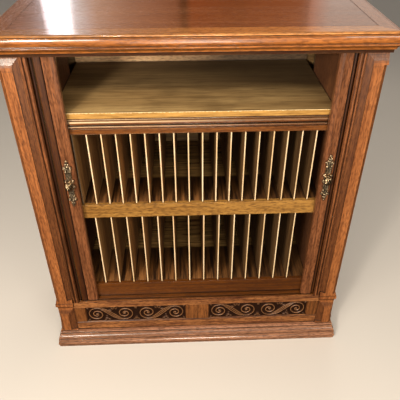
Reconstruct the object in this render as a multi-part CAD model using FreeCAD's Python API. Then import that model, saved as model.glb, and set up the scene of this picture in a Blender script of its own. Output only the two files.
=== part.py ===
import FreeCAD, Part
import math
import os
from FreeCAD import Vector as V

# A wide cabinet with two horizontally sliding tambour doors, built in millimetres with +Z up.
# Every shape is drawn with y counted from the posts' front plane towards the back, and
# save() moves it so that the row's origin is the middle of the footprint, on the floor.

# Overall sizes
POST_HALF = 525.0        # half the width over the posts
POST = 60.0              # post section
DEPTH = 478.0            # post front plane to post back
BASE_OUT, BASE_H = 22.0, 72.0             # base moulding: how far it stands out from the posts, height
LEDGE = 219.0            # top of the plinth
TOP = 1216.0
TOP_T = 6.0              # thickness of the top
MOULDING_H, FRIEZE_H = 43.0, 10.0
FRIEZE_T = 17.0
MOULDING_T = 14.0        # how far a moulding reaches in behind the posts' plane
MOULDING_TOP = TOP - TOP_T
MOULDING_LOW = MOULDING_TOP - MOULDING_H
POST_TOP = MOULDING_LOW - FRIEZE_H
BLOCK_OUT = 4.0          # how far a corner block stands out from its post
FACE_Y = -(DEPTH - BASE_OUT) / 2.0

# Inside
BACK_IN, BACK_T = 14.0, 8.0               # back panel: its front face from the posts' back, thickness
BACK_Y = DEPTH - BACK_IN
RAIL_Y, RAIL_T = 40.0, 14.0               # front plane and thickness of the inside rails
DIVIDER_IN = 6.0                          # the dividers' front edges stand back from the rails
DIVIDER_Y = RAIL_Y + DIVIDER_IN
SHELF_TOP, SHELF_T = 975.0, 18.0
SHELF_LOW = SHELF_TOP - SHELF_T
RAIL_LOW = SHELF_LOW - 52.0               # lower edge of the rail under the shelf
MIDDLE_TOP = 645.0
MIDDLE_LOW = MIDDLE_TOP - 53.0
FLOOR_TOP = LEDGE + 61.5
BOARD_T = 12.0
DIVIDER_T = 4.0
UPPER_SLOTS = 19
LOWER_PITCH, LOWER_COUNT = 52.25, 14

# Tambour curtain. Its canvas follows a path: a straight front run, a quarter turn and a side run.
PITCH = 23.2             # one slat with its joint
SLAT_W, SLAT_T = 22.0, 8.0
CANVAS_Y = 24.0          # canvas line on the front run
SIDE_IN = 79.5           # canvas line on the side run, from the posts' outer plane
TURN_R = 22.0
PARK = 10.0              # how far the right lead stile may stand past the front run's end
CANVAS_T = 0.8
LEAD_W, LEAD_T = 38.0, 18.0
MEET_GAP = 0.5           # half the gap where the closed doors meet
END_GAP = 2.0            # from the parked curtain's end to the back panel
TRACK_T, GROOVE, GROOVE_W = 14.0, 4.0, 7.0
TONGUE, TONGUE_T = 3.0, 4.0
RUN_GAP = 0.3            # clearance of a slat's shoulder to the track
CHANNEL = 20.5           # from the side run's canvas to the partition
PARTITION_T = 10.0
CANVAS_X = POST_HALF - SIDE_IN
INNER = CANVAS_X - CHANNEL - PARTITION_T  # half the clear width between the partitions
STRAIGHT = CANVAS_X - TURN_R              # length of the front run from the middle
TURN = TURN_R * math.pi / 2

# Plinth panels
PANEL_IN, PANEL_OUT = 46.0, POST_HALF - POST - 42.0
PANEL_LOW, PANEL_HIGH = 112.0, LEDGE - 29.0
PLINTH_Y = 5.0

# Handles
HANDLE_Z, HANDLE_H = 747.0, 172.0


def last_front_slat(steps):
    """Middle of the last slat before the turn, when the right door's travel is so many slats."""
    first = MEET_GAP + (steps - 1) * PITCH + LEAD_W + PITCH / 2
    return first + PITCH * max(0, int((STRAIGHT - first) / PITCH))


def side_start(steps):
    """Where the side run's slats start: two and a half slats on, past the turn."""
    return last_front_slat(steps) + 2.5 * PITCH


def side_end(steps):
    """Depth of the parked curtain's end."""
    return CANVAS_Y + TURN_R + side_start(steps) - STRAIGHT - TURN + steps * PITCH


# Door travel, counted in slats: as many as find room on the front and, when parked, on the side
RIGHT_STEPS = int((STRAIGHT + PARK - LEAD_W - MEET_GAP) / PITCH)
while side_end(RIGHT_STEPS) > BACK_Y - END_GAP:
    RIGHT_STEPS -= 1
LEFT_STEPS = RIGHT_STEPS - 1
LEFT_TRAVEL, RIGHT_TRAVEL = LEFT_STEPS * PITCH, RIGHT_STEPS * PITCH
LEFT_EDGE, RIGHT_EDGE = MEET_GAP + LEFT_TRAVEL, MEET_GAP + RIGHT_TRAVEL


def box(x0, x1, y0, y1, z0, z1):
    return Part.makeBox(x1 - x0, y1 - y0, z1 - z0, V(x0, y0, z0))


def closed(points):
    return Part.Face(Part.makePolygon(points + [points[0]]))


def prism_z(plan, z0, z1):
    return closed([V(x, y, z0) for x, y in plan]).extrude(V(0, 0, z1 - z0))


def prism_x(profile, x0, x1):
    return closed([V(x0, y, z) for y, z in profile]).extrude(V(x1 - x0, 0, 0))


def prism_y(profile, y0, y1):
    return closed([V(x, y0, z) for x, z in profile]).extrude(V(0, y1 - y0, 0))


def mirrored(shape):
    return shape.mirror(V(0, 0, 0), V(1, 0, 0))


def side(shape, sign):
    return shape if sign > 0 else mirrored(shape)


def arc(cx, cy, r, a0, a1, n):
    out = []
    for i in range(n + 1):
        a = math.radians(a0 + (a1 - a0) * i / n)
        out.append((cx + r * math.cos(a), cy + r * math.sin(a)))
    return out


def save(name, shapes):
    if not isinstance(shapes, list):
        shapes = [shapes]
    solids = []
    for s in shapes:
        solids += s.removeSplitter().Solids if s.ShapeType != "Solid" else [s]
    whole = solids[0] if len(solids) == 1 else Part.makeCompound(solids)
    whole = whole.copy()
    whole.translate(V(0, FACE_Y, 0))
    whole.exportStep("parts/%s.step" % name)


# Mouldings: (out, z) profiles, out being the distance beyond the posts' front or side plane
TOP_PROFILE = [(-MOULDING_T, 0), (12.6, 0), (12.6, -1.0), (14.6, -1.6), (15.6, -2.8), (15.4, -4.4),
               (13.6, -5.6), (12.8, -6.0), (13.8, -9.5), (14.5, -13.5), (14.8, -18.0), (14.5, -22.0),
               (13.8, -25.4), (16.4, -25.8), (18.2, -26.8), (19.0, -28.6), (18.4, -30.6), (16.6, -32.0),
               (14.6, -32.8), (11.8, -34.6), (9.8, -37.0), (8.4, -40.0), (8.0, -42.0), (8.0, -43.0),
               (-MOULDING_T, -43.0)]
TOP_MOULDING = [(u, MOULDING_TOP + z * MOULDING_H / 43.0) for u, z in TOP_PROFILE]
BASE_PROFILE = ([(-5, 72), (5, 72), (7.8, 70.6), (8.9, 67.8), (7.8, 65), (6, 63.4), (6, 61.8), (9, 61),
                 (9, 58)]
                + arc(20.0, 58.0, 11.0, 186, 246, 4)
                + [(15.6, 35), (19, 35), (19, 31.5)]
                + arc(8.5, 16.0, 13.5, 40, -40, 8)
                + [(19, 5.5), (19.6, 0), (-5, 0)])
BASE_MOULDING = [(u * BASE_OUT / 22.0, z * BASE_H / 72.0) for u, z in BASE_PROFILE]

# Rolled ends: (depth, height) profiles cut into a face. The post's starts at the post's top, the
# block's at the ledge.
POST_ROLL = [(0, -41), (0.8, -41), (1.0, -36), (1.6, -30), (3.0, -24), (5.0, -18), (7.2, -12.5),
             (9.0, -8), (10.0, -4), (10.2, 1)]
BLOCK_ROLL = [(0, -13), (3.0, -15), (6.5, -20), (8.8, -27), (9.2, -33), (8.4, -38), (6.8, -44), (5.0, -50),
              (3.3, -56), (2.0, -62), (1.0, -68), (0.3, -75), (0, -81)]
BLOCK_SIDE = [(0, -18), (1.6, -22), (2.8, -28), (3.6, -36), (4.1, -48), (4.3, -62), (4.2, -78), (3.6, -94),
              (2.4, -108), (1.0, -118), (0, -124)]


def front_moulding(profile, back):
    bar = prism_x([(-u, z) for u, z in profile], -POST_HALF - 60, POST_HALF + 60)
    low, high = min(z for u, z in profile) - 1, max(z for u, z in profile) + 1
    plan = [(-POST_HALF - 60, -60), (POST_HALF + 60, -60), (POST_HALF - back, back), (back - POST_HALF, back)]
    return bar.common(prism_z(plan, low, high))


def side_moulding(profile, back, end):
    bar = prism_y([(POST_HALF + u, z) for u, z in profile], -80, end)
    low, high = min(z for u, z in profile) - 1, max(z for u, z in profile) + 1
    plan = [(POST_HALF + 60, -60), (POST_HALF + 60, end), (POST_HALF - back, end), (POST_HALF - back, back)]
    return bar.common(prism_z(plan, low, high))


def stopped_cut(plan, z0, z1, r, face_y, low_curve, high_curve):
    """A chamfer's waste: a plan shape between two heights, run out in a curve at the ends asked for."""
    parts = [prism_z(plan, z0 + (r if low_curve else 0), z1 - (r if high_curve else 0))]
    if high_curve:
        nose = Part.makeCylinder(r, 200, V(POST_HALF - 120, face_y, z1 - r), V(1, 0, 0))
        parts.append(prism_z(plan, z1 - r, z1).common(nose))
    if low_curve:
        nose = Part.makeCylinder(r, 200, V(POST_HALF - 120, face_y, z0 + r), V(1, 0, 0))
        parts.append(prism_z(plan, z0, z0 + r).common(nose))
    whole = parts[0]
    for p in parts[1:]:
        whole = whole.fuse(p)
    return whole


def front_roll(profile, face_y, z):
    """Waste of a rolled end on a front face: the profile, closed in front of the face."""
    points = [(-5, profile[0][1])] + profile + [(-5, profile[-1][1])]
    return prism_x([(face_y + d, z + h) for d, h in points], POST_HALF - POST - 5, POST_HALF + 20)


def side_roll(profile, face_x, z):
    points = [(-5, profile[0][1])] + profile + [(-5, profile[-1][1])]
    return prism_y([(face_x - d, z + h) for d, h in points], -20, POST + 5)


def front_post():
    inner, outer = POST_HALF - POST, POST_HALF
    post = box(inner, outer, 0, POST, LEDGE, POST_TOP)
    step = outer - 41
    inner_cut = prism_z([(step, -3), (step, 3), (inner + 1, 10), (inner - 1, 10), (inner - 1, -3)],
                        LEDGE + 17, POST_TOP + 1)
    outer_cut = stopped_cut([(outer - 12, -3), (outer - 12, 1), (outer + 1, 12.5), (outer + 1, -3)],
                            LEDGE + 14, POST_TOP - 36, 20, 0, True, True)
    return post.cut(inner_cut).cut(outer_cut).cut(front_roll(POST_ROLL, 0, POST_TOP))


def front_block():
    inner, outer = POST_HALF - POST, POST_HALF + BLOCK_OUT
    block = box(inner, outer, -2, POST, 0, LEDGE)
    step = POST_HALF - 34
    inner_cut = prism_z([(step, -4), (step, 0.5), (inner + 2, 9), (inner - 1, 9), (inner - 1, -4)],
                        76, LEDGE - 31)
    outer_cut = stopped_cut([(outer - 11, -4), (outer - 11, -1), (outer + 1, 9.5), (outer + 1, -4)],
                            76, LEDGE - 14, 24, -2, False, True)
    block = block.cut(inner_cut).cut(outer_cut).cut(front_roll(BLOCK_ROLL, -2, LEDGE))
    return block.cut(side_roll(BLOCK_SIDE, outer, LEDGE))


def path_point(s):
    """Point and outward direction on the canvas path, s counted from the middle of the front."""
    if s <= STRAIGHT:
        return (s, CANVAS_Y), (0.0, -1.0)
    if s <= STRAIGHT + TURN:
        a = (s - STRAIGHT) / TURN_R
        return ((STRAIGHT + TURN_R * math.sin(a), CANVAS_Y + TURN_R - TURN_R * math.cos(a)),
                (math.sin(a), -math.cos(a)))
    return (CANVAS_X, CANVAS_Y + TURN_R + s - STRAIGHT - TURN), (1.0, 0.0)


def slat(s):
    """One slat, its middle at s on the path, with a tongue at each end."""
    (px, py), (nx, ny) = path_point(s)
    tx, ty = -ny, nx
    def at(t, n):
        return (px + t * tx + n * nx, py + t * ty + n * ny)
    h = SLAT_W / 2
    plan = [at(-h, 0), at(-h, SLAT_T - 3.2), at(-h + 1.2, SLAT_T - 1.2), at(-h + 4.0, SLAT_T),
            at(h - 4.0, SLAT_T), at(h - 1.2, SLAT_T - 1.2), at(h, SLAT_T - 3.2), at(h, 0)]
    body = prism_z(plan, LEDGE + RUN_GAP, POST_TOP - RUN_GAP)
    c = SLAT_T / 2
    low, high = c - TONGUE_T / 2, c + TONGUE_T / 2
    tongue = [at(-5, low), at(-5, high), at(5, high), at(5, low)]
    return body.fuse(prism_z(tongue, LEDGE - TONGUE, POST_TOP + TONGUE))


def canvas(s0, s1):
    stops = [s0] + [STRAIGHT + TURN * i / 6 for i in range(7)]
    stops = [s for s in stops if s0 <= s <= s1] + [s1]
    outer, inner = [], []
    for s in sorted(set(stops)):
        (px, py), (nx, ny) = path_point(s)
        outer.append((px, py))
        inner.append((px - CANVAS_T * nx, py - CANVAS_T * ny))
    return prism_z(outer + inner[::-1], LEDGE + 4, POST_TOP - 4)


def lead_stile(edge):
    """Lead stile of a right-hand door whose meeting edge is at x = edge."""
    front = CANVAS_Y - SLAT_T
    x1 = edge + LEAD_W
    plan = [(edge, front + LEAD_T), (edge, front + 6), (edge + 1.5, front + 3.6), (edge + 14, front),
            (x1 - 2, front), (x1, front + 2), (x1, front + LEAD_T)]
    body = prism_z(plan, LEDGE + RUN_GAP, POST_TOP - RUN_GAP)
    mid = front + SLAT_T / 2
    tongue = box(edge + 4, x1 - 4, mid - TONGUE_T / 2, mid + TONGUE_T / 2, LEDGE - TONGUE, POST_TOP + TONGUE)
    return body.fuse(tongue)


def groove(z0, z1):
    """The groove that both curtains run in, round the front and both sides."""
    mid = SLAT_T / 2
    w = GROOVE_W / 2
    cx, cy = STRAIGHT, CANVAS_Y + TURN_R
    r0, r1 = TURN_R + mid - w, TURN_R + mid + w
    end = BACK_Y - 1.0
    outer = [(CANVAS_X + mid + w, end)] + arc(cx, cy, r1, 0, -90, 10)
    inner = arc(cx, cy, r0, -90, 0, 10) + [(CANVAS_X + mid - w, end)]
    half = outer + [(0, CANVAS_Y - mid - w), (0, CANVAS_Y - mid + w)] + inner
    shape = prism_z(half, z0, z1)
    return shape.fuse(mirrored(shape))


def dividers(xs, z0, z1):
    return [box(x - DIVIDER_T / 2, x + DIVIDER_T / 2, DIVIDER_Y, BACK_Y - 6, z0, z1) for x in xs]


# Carving: ribbons drawn on an x, z plane from formulas, then raised off the panel
def ribbon(points, widths):
    left, right = [], []
    n = len(points)
    for i in range(n):
        x0, z0 = points[max(i - 1, 0)]
        x1, z1 = points[min(i + 1, n - 1)]
        d = math.hypot(x1 - x0, z1 - z0)
        nx, nz = -(z1 - z0) / d, (x1 - x0) / d
        x, z = points[i]
        w = widths[i] / 2
        left.append((x + nx * w, z + nz * w))
        right.append((x - nx * w, z - nz * w))
    return left + right[::-1]


def spiral(cx, cz, start, r_eye, r_rim, turns, steps):
    """Points from the eye out to the rim, which it reaches at the start angle."""
    out = []
    for i in range(steps + 1):
        t = i / steps
        a = math.radians(start - 360 * turns * (1 - t))
        r = r_eye + (r_rim - r_eye) * t ** 1.1
        out.append((cx + r * math.cos(a), cz + r * math.sin(a)))
    return out


def scroll_line(turns=1.5, steps=30):
    """An S-scroll: the volute at the panel's end, its stem, and the volute nearer the middle."""
    end = spiral(37.0, 35.0, 70, 6.0, 35.5, -turns, steps)
    middle = spiral(145.0, 42.0, -110, 6.0, 34.0, -turns, steps)[::-1]
    (ax, az), (bx, bz) = end[-1], middle[0]
    stem = []
    for i in range(1, 10):
        t = i / 10
        s = t * t * (3 - 2 * t)
        stem.append((ax + (bx - ax) * t, az + (bz - az) * s))
    points = end + stem + middle
    half = (len(points) - 1) / 2
    return points, [4.0 + 5.5 * (1 - abs(k - half) / half) for k in range(len(points))]


def leaf(x, z, angle, length, width):
    a = math.radians(angle)
    out = []
    for t, w in [(0, 0.12), (0.25, 0.8), (0.5, 1.0), (0.75, 0.7), (1.0, 0.0)]:
        out.append((t * length, w * width / 2))
    out += [(u, -v) for u, v in out[-2::-1]]
    c, s = math.cos(a), math.sin(a)
    return [(x + u * c - v * s, z + u * s + v * c) for u, v in out]


EYES = [(37.0, 35.0), (145.0, 42.0)]
LEAVES = [(96, 8, 150, 24, 8), (96, 8, 118, 20, 7), (92, 72, -28, 26, 8), (92, 72, -58, 20, 7),
          (186, 74, -94, 24, 7), (186, 5, 94, 20, 7), (4, 74, -30, 12, 5), (80, 74, 186, 20, 6)]


def carved_panel():
    """The right-hand carved panel, lying between PANEL_IN and PANEL_OUT."""
    ground = PLINTH_Y + 7.0
    width = PANEL_OUT - PANEL_IN
    panel = box(PANEL_IN, PANEL_OUT, ground, ground + 8, PANEL_LOW, PANEL_HIGH)
    middle = PANEL_IN + width / 2
    def raise_off(shape2d, height):
        pts = [V(x, ground + 0.5, z) for x, z in shape2d]
        return closed(pts).extrude(V(0, -height - 0.5, 0))
    pts, wid = scroll_line()
    half = [ribbon(pts, wid)]
    half += [leaf(*spec) for spec in LEAVES]
    half += [arc(x, z, 4.6, 0, 324, 9) for x, z in EYES]
    stretch_x, stretch_z = width / 377.0, (PANEL_HIGH - PANEL_LOW) / 78.0
    relief = []
    for k, shape2d in enumerate(half):
        height = 5.0 if k == 0 or k > len(LEAVES) else 3.4
        for sign in (-1, 1):
            placed = [(middle + sign * (width / 2 - x * stretch_x), PANEL_LOW + z * stretch_z)
                      for x, z in shape2d]
            relief.append(raise_off(placed, height))
    return panel.multiFuse(relief)


# Handle plate: (half width, height) outline of its upper half, for a plate 172 high
PLATE_HALF = [(0.8, 86), (3.2, 84), (4.6, 80.5), (3.6, 77), (5.8, 75), (6.6, 71), (4.8, 67.5), (7.5, 65),
              (11.6, 62), (14.0, 57.5), (12.6, 53.5), (9.0, 51), (10.8, 48), (11.2, 44), (9.6, 41),
              (10.4, 36), (10.8, 30), (10.2, 24), (9.4, 19), (11.5, 16), (14.6, 13), (15.2, 9),
              (12.5, 6), (11.6, 3)]


def handle_plate(x, y):
    """Cast back plate, its back on the lead stile's face at depth y."""
    k = HANDLE_H / 172.0
    outline = [(w, z * k) for w, z in PLATE_HALF] + [(w, -z * k) for w, z in PLATE_HALF[::-1]]
    outline += [(-w, z) for w, z in outline[::-1]]
    plate = closed([V(x + w, y, HANDLE_Z + z) for w, z in outline]).extrude(V(0, -2.6, 0))
    boss = Part.makeCylinder(10.5, 4.0, V(x, y - 1, HANDLE_Z), V(0, -1, 0))
    plate = plate.fuse(boss)
    for z in (-62 * k, 62 * k):
        plate = plate.fuse(Part.makeCone(5.6, 3.4, 2.6, V(x, y - 2, HANDLE_Z + z), V(0, -1, 0)))
    return plate


def twisted_knob(x, y):
    """Knob on its stem, with a twisted, lobed head, made of flat facets."""
    rings = [(0.0, 4.8, 0.0), (4.0, 4.2, 0.0), (7.4, 5.0, 0.06), (10.0, 9.0, 0.12), (13.5, 12.4, 0.16),
             (18.0, 13.6, 0.17), (22.5, 12.0, 0.16), (26.0, 7.8, 0.12), (27.8, 3.0, 0.0)]
    n = 20
    grid = []
    for out, r, lobe in rings:
        ring = []
        for i in range(n):
            a = 2 * math.pi * i / n
            rr = r * (1 + lobe * math.cos(5 * a))
            turn = a + 0.09 * out
            ring.append(V(x + rr * math.cos(turn) * 0.9, y - 5.0 - out, HANDLE_Z + rr * math.sin(turn) * 1.1))
        grid.append(ring)
    faces = []
    for lower, upper in zip(grid, grid[1:]):
        for i in range(n):
            j = (i + 1) % n
            faces.append(closed([lower[i], lower[j], upper[j]]))
            faces.append(closed([lower[i], upper[j], upper[i]]))
    faces.append(closed(grid[0][::-1]))
    faces.append(closed(grid[-1]))
    return Part.Solid(Part.Shell(faces))


os.makedirs("parts", exist_ok=True)

# Top
BORDER_OUT, SEAM = 15.0, POST_HALF + 6.0 - 41.7
edge = POST_HALF + BORDER_OUT
seam_y, back_seam = 36.0, DEPTH - 42.0
slab = box(-edge, edge, -BORDER_OUT, DEPTH, MOULDING_TOP, TOP)
slab = slab.makeFillet(4.0, [e for e in slab.Edges
                             if all(abs(v.Point.z - TOP) < 1e-6 for v in e.Vertexes)
                             and not all(abs(v.Point.y - DEPTH) < 1e-6 for v in e.Vertexes)])
line = POST_HALF + 6.5
ring = box(-line - 1.2, line + 1.2, -7.7, DEPTH + 5, TOP - 1.0, TOP + 1).cut(
    box(-line, line, -6.5, DEPTH + 6, TOP - 2, TOP + 2))
slab = slab.cut(ring)
front_plan = [(-edge - 5, -BORDER_OUT - 5), (edge + 5, -BORDER_OUT - 5), (SEAM, seam_y), (-SEAM, seam_y)]
side_plan = [(SEAM, seam_y), (edge + 5, -BORDER_OUT - 5), (edge + 5, DEPTH + 5), (SEAM, DEPTH + 5)]
front_zone = prism_z(front_plan, MOULDING_TOP - 5, TOP + 5)
back_zone = box(-SEAM, SEAM, back_seam, DEPTH + 5, MOULDING_TOP - 5, TOP + 5)
side_zone = prism_z(side_plan, MOULDING_TOP - 5, TOP + 5)
save("top_front_border", slab.common(front_zone))
save("top_back_border", slab.common(back_zone))
save("top_right_border", slab.common(side_zone))
save("top_left_border", slab.common(mirrored(side_zone)))
top_panel = box(-SEAM, SEAM, seam_y, back_seam, MOULDING_TOP, TOP)
rim = box(-SEAM, SEAM, seam_y, back_seam, TOP - 2, TOP + 1).cut(
    box(-SEAM + 1.1, SEAM - 1.1, seam_y + 1.1, back_seam - 1.1, TOP - 3, TOP + 2))
save("top_panel", top_panel.cut(rim))
save("top_front_moulding", front_moulding(TOP_MOULDING, MOULDING_T))
save("top_right_moulding", side_moulding(TOP_MOULDING, MOULDING_T, DEPTH))
save("top_left_moulding", mirrored(side_moulding(TOP_MOULDING, MOULDING_T, DEPTH)))
under_low = MOULDING_TOP - 18
under_x = POST_HALF - MOULDING_T
save("under_top", box(-under_x, under_x, MOULDING_T, DEPTH, under_low, MOULDING_TOP))
save("top_back_rail", box(-under_x, under_x, DEPTH - 18, DEPTH, MOULDING_LOW, under_low))
frieze_out = 4.0
frieze_y, frieze_x = FRIEZE_T - frieze_out, POST_HALF - 16
outside = POST_HALF + frieze_out
save("frieze", [box(-outside, outside, -frieze_out, frieze_y, POST_TOP, MOULDING_LOW),
                box(frieze_x, outside, frieze_y, DEPTH, POST_TOP, MOULDING_LOW),
                box(-outside, -frieze_x, frieze_y, DEPTH, POST_TOP, MOULDING_LOW)])
board = box(-frieze_x, frieze_x, frieze_y, DEPTH, POST_TOP, MOULDING_LOW)
save("top_track", board.cut(groove(POST_TOP - 1, POST_TOP + GROOVE)))

# Posts and the beaded stiles beside them
save("front_right_post", front_post())
save("front_left_post", mirrored(front_post()))
back_post = box(POST_HALF - POST, POST_HALF, DEPTH - POST, DEPTH, LEDGE, POST_TOP)
save("back_posts", [back_post, mirrored(back_post)])
bead = [(0, 14), (22, 14), (22, 7), (21.2, 4.8), (19, 3.3), (15.5, 3), (12.8, 4.2), (11.4, 6.4), (10.2, 6.4),
        (9, 4.6), (6.4, 3.4), (3.6, 4.2), (2, 6.4), (1.6, 9.5), (0, 9.5)]
bead = [(POST_HALF - POST - u, y) for u, y in bead]
save("right_bead_stile", prism_z(bead, LEDGE, POST_TOP))
save("left_bead_stile", mirrored(prism_z(bead, LEDGE, POST_TOP)))

# Framed sides
side_in, side_out = POST_HALF - 28, POST_HALF - 8
mid_y = DEPTH / 2


def side_frame():
    rails = [box(side_in, side_out, POST, DEPTH - POST, POST_TOP - 90, POST_TOP),
             box(side_in, side_out, POST, DEPTH - POST, LEDGE, LEDGE + 90),
             box(side_in, side_out, mid_y - 26, mid_y + 26, LEDGE + 90, POST_TOP - 90)]
    return rails


def around(x, y0, y1, z0, z1):
    """A rectangle's outline in the plane at x."""
    corners = [V(x, y0, z0), V(x, y1, z0), V(x, y1, z1), V(x, y0, z1)]
    return Part.makePolygon(corners + [corners[0]])


def side_panels():
    """Two panels with raised fields, whose sloped margins rise from the frame."""
    out = []
    for y0, y1 in ((POST, mid_y - 26), (mid_y + 26, DEPTH - POST)):
        base = box(side_in + 4, side_in + 11, y0, y1, LEDGE + 90, POST_TOP - 90)
        b, t = 30.0, 5.0
        low = around(side_in + 11, y0 + b - 14, y1 - b + 14, LEDGE + 76 + b, POST_TOP - 76 - b)
        high = around(side_in + 11 + t, y0 + b, y1 - b, LEDGE + 90 + b, POST_TOP - 90 - b)
        field = Part.makeLoft([low, high], True, True)
        out.append(base.fuse(field))
    return out


save("right_side_frame", side_frame())
save("left_side_frame", [mirrored(s) for s in side_frame()])
save("right_side_panels", side_panels())
save("left_side_panels", [mirrored(s) for s in side_panels()])

# Back
inner_post = POST_HALF - POST
back = box(-inner_post, inner_post, BACK_Y, BACK_Y + BACK_T, LEDGE, POST_TOP)
for k in range(1, 9):
    gx = -inner_post + 2 * inner_post * k / 9
    back = back.cut(box(gx - 1, gx + 1, BACK_Y + BACK_T - 2, BACK_Y + BACK_T + 1, LEDGE - 1, POST_TOP + 1))
save("back_panel", back)
save("back_batten", box(-INNER, INNER, BACK_Y - 12, BACK_Y, SHELF_TOP, SHELF_TOP + 42))

# Inside
partition = box(INNER, INNER + PARTITION_T, RAIL_Y + 8, BACK_Y - 124, LEDGE, POST_TOP)
save("right_partition", partition)
save("left_partition", mirrored(partition))
save("shelf", box(-INNER + 1, INNER - 1, RAIL_Y, BACK_Y, SHELF_LOW, SHELF_TOP))
rail_back = RAIL_Y + RAIL_T
cove = [(5.0, 0), (5.8, -3), (5.6, -5.5), (4.0, -7.4)]
upper_bead = arc(1.0, -14.0, 6.2, 92, 250, 7)
lower_bead = arc(1.6, -28.6, 4.0, 100, 252, 6)
face = cove + upper_bead + [(3.6, -21.4), (3.6, -23.6)] + lower_bead + [(2.6, -33.6), (1, -34.6)]
rail = [(rail_back, SHELF_LOW)] + [(RAIL_Y + d, SHELF_LOW + h) for d, h in face]
rail += [(RAIL_Y + 1, RAIL_LOW), (rail_back, RAIL_LOW)]
save("shelf_front_rail", prism_x(rail, -INNER, INNER))
upper_pitch = 2 * INNER / UPPER_SLOTS
upper_xs = [-INNER + upper_pitch * k for k in range(1, UPPER_SLOTS)]
lower_xs = [LOWER_PITCH * (k - (LOWER_COUNT - 1) / 2) for k in range(LOWER_COUNT)]


def above_rail(solids, z):
    return [s.cut(box(-INNER, INNER, 0, rail_back, z, z + 200)) for s in solids]


save("upper_dividers", above_rail(dividers(upper_xs, MIDDLE_TOP, SHELF_LOW), RAIL_LOW))
save("lower_dividers", above_rail(dividers(lower_xs, FLOOR_TOP, MIDDLE_TOP - BOARD_T), MIDDLE_LOW))
save("middle_board", box(-INNER, INNER, rail_back, BACK_Y, MIDDLE_TOP - BOARD_T, MIDDLE_TOP))
save("middle_rail", box(-INNER, INNER, RAIL_Y, rail_back, MIDDLE_LOW, MIDDLE_TOP))
save("floor_board", box(-INNER, INNER, rail_back, BACK_Y, FLOOR_TOP - BOARD_T, FLOOR_TOP))
save("bottom_rail", box(-INNER, INNER, RAIL_Y, rail_back, LEDGE, FLOOR_TOP))

# Track board, with the curtains' groove, notched round the corner blocks
board = box(-side_in, side_in, PLINTH_Y + 8, DEPTH - 20, LEDGE - TRACK_T, LEDGE)
for x in (-POST_HALF, POST_HALF - POST):
    board = board.cut(box(x, x + POST, -1, POST, LEDGE - 20, LEDGE + 1))
    board = board.cut(box(x, x + POST, DEPTH - POST, DEPTH + 1, LEDGE - 20, LEDGE + 1))
save("bottom_track", board.cut(groove(LEDGE - GROOVE, LEDGE + 1)))

# Plinth
block = front_block()
save("front_right_block", block)
save("front_left_block", mirrored(block))
back_block = box(POST_HALF - POST, POST_HALF + BLOCK_OUT, DEPTH - POST, DEPTH, 0, LEDGE)
save("back_blocks", [back_block, mirrored(back_block)])
top_rail = [(PLINTH_Y, PANEL_HIGH), (PLINTH_Y + 20, PANEL_HIGH), (PLINTH_Y + 20, LEDGE - TRACK_T),
            (PLINTH_Y + 8, LEDGE - TRACK_T), (PLINTH_Y + 8, LEDGE), (PLINTH_Y + 1, LEDGE),
            (PLINTH_Y, LEDGE - 1)]
save("plinth_top_rail", prism_x(top_rail, -inner_post, inner_post))
bevel = 4.0
low_rail = [(PLINTH_Y, 0), (PLINTH_Y + 20, 0), (PLINTH_Y + 20, PANEL_LOW), (PLINTH_Y + bevel, PANEL_LOW),
            (PLINTH_Y, PANEL_LOW - bevel)]
save("plinth_bottom_rail", prism_x(low_rail, -inner_post, inner_post))


def stile(x0, x1, left_bevel, right_bevel):
    y0 = PLINTH_Y
    plan = [(x0, y0 + (bevel if left_bevel else 0))] + ([(x0 + bevel, y0)] if left_bevel else [])
    plan += ([(x1 - bevel, y0)] if right_bevel else []) + [(x1, y0 + (bevel if right_bevel else 0))]
    plan += [(x1, y0 + 20), (x0, y0 + 20)]
    return prism_z(plan, PANEL_LOW, PANEL_HIGH)


save("plinth_stiles", [stile(-inner_post, -PANEL_OUT, False, True), stile(-PANEL_IN, PANEL_IN, True, True),
                       stile(PANEL_OUT, inner_post, True, False)])
carving = carved_panel()
save("right_carved_panel", carving)
save("left_carved_panel", mirrored(carving))
plinth_side = box(POST_HALF - 25, POST_HALF - 5, POST, DEPTH - POST, 0, LEDGE)
save("plinth_sides", [plinth_side, mirrored(plinth_side)])
save("plinth_back", box(-inner_post, inner_post, DEPTH - 20, DEPTH - 4, 0, LEDGE))
front_base = front_moulding(BASE_MOULDING, 5)
side_base = side_moulding(BASE_MOULDING, 5, DEPTH)
blocks = [box(POST_HALF - POST, POST_HALF + BLOCK_OUT, -2, POST, -1, BASE_H + 8),
          box(POST_HALF - POST, POST_HALF + BLOCK_OUT, DEPTH - POST, DEPTH, -1, BASE_H + 8)]
blocks += [mirrored(b) for b in blocks]
for b in blocks:
    front_base = front_base.cut(b)
    side_base = side_base.cut(b)
save("base_front_moulding", front_base)
save("base_side_mouldings", [side_base, mirrored(side_base)])

# Curtains: the slats in the turn belong to the case, those on the side run to the curtain
first = LEFT_EDGE + LEAD_W + PITCH / 2
last = last_front_slat(RIGHT_STEPS) + 2 * PITCH
turn_slats = [slat(first + k * PITCH) for k in range(1, round((last - first) / PITCH) + 1)]
save("turn_slats", turn_slats + [mirrored(s) for s in turn_slats])
start = side_start(RIGHT_STEPS)
turn_canvas = canvas(first + PITCH / 2 + 1.2, start)
save("turn_canvas", [turn_canvas, mirrored(turn_canvas)])
for name, sign, steps in (("left", -1, LEFT_STEPS), ("right", 1, RIGHT_STEPS)):
    run = [slat(start + (k + 0.5) * PITCH) for k in range(steps)]
    save(name + "_curtain_slats", [side(s, sign) for s in run])
    save(name + "_curtain_canvas", side(canvas(start, start + steps * PITCH), sign))
save("left_front_slat", mirrored(slat(first)))
save("left_front_canvas", mirrored(canvas(first - PITCH / 2, first + PITCH / 2)))

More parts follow.
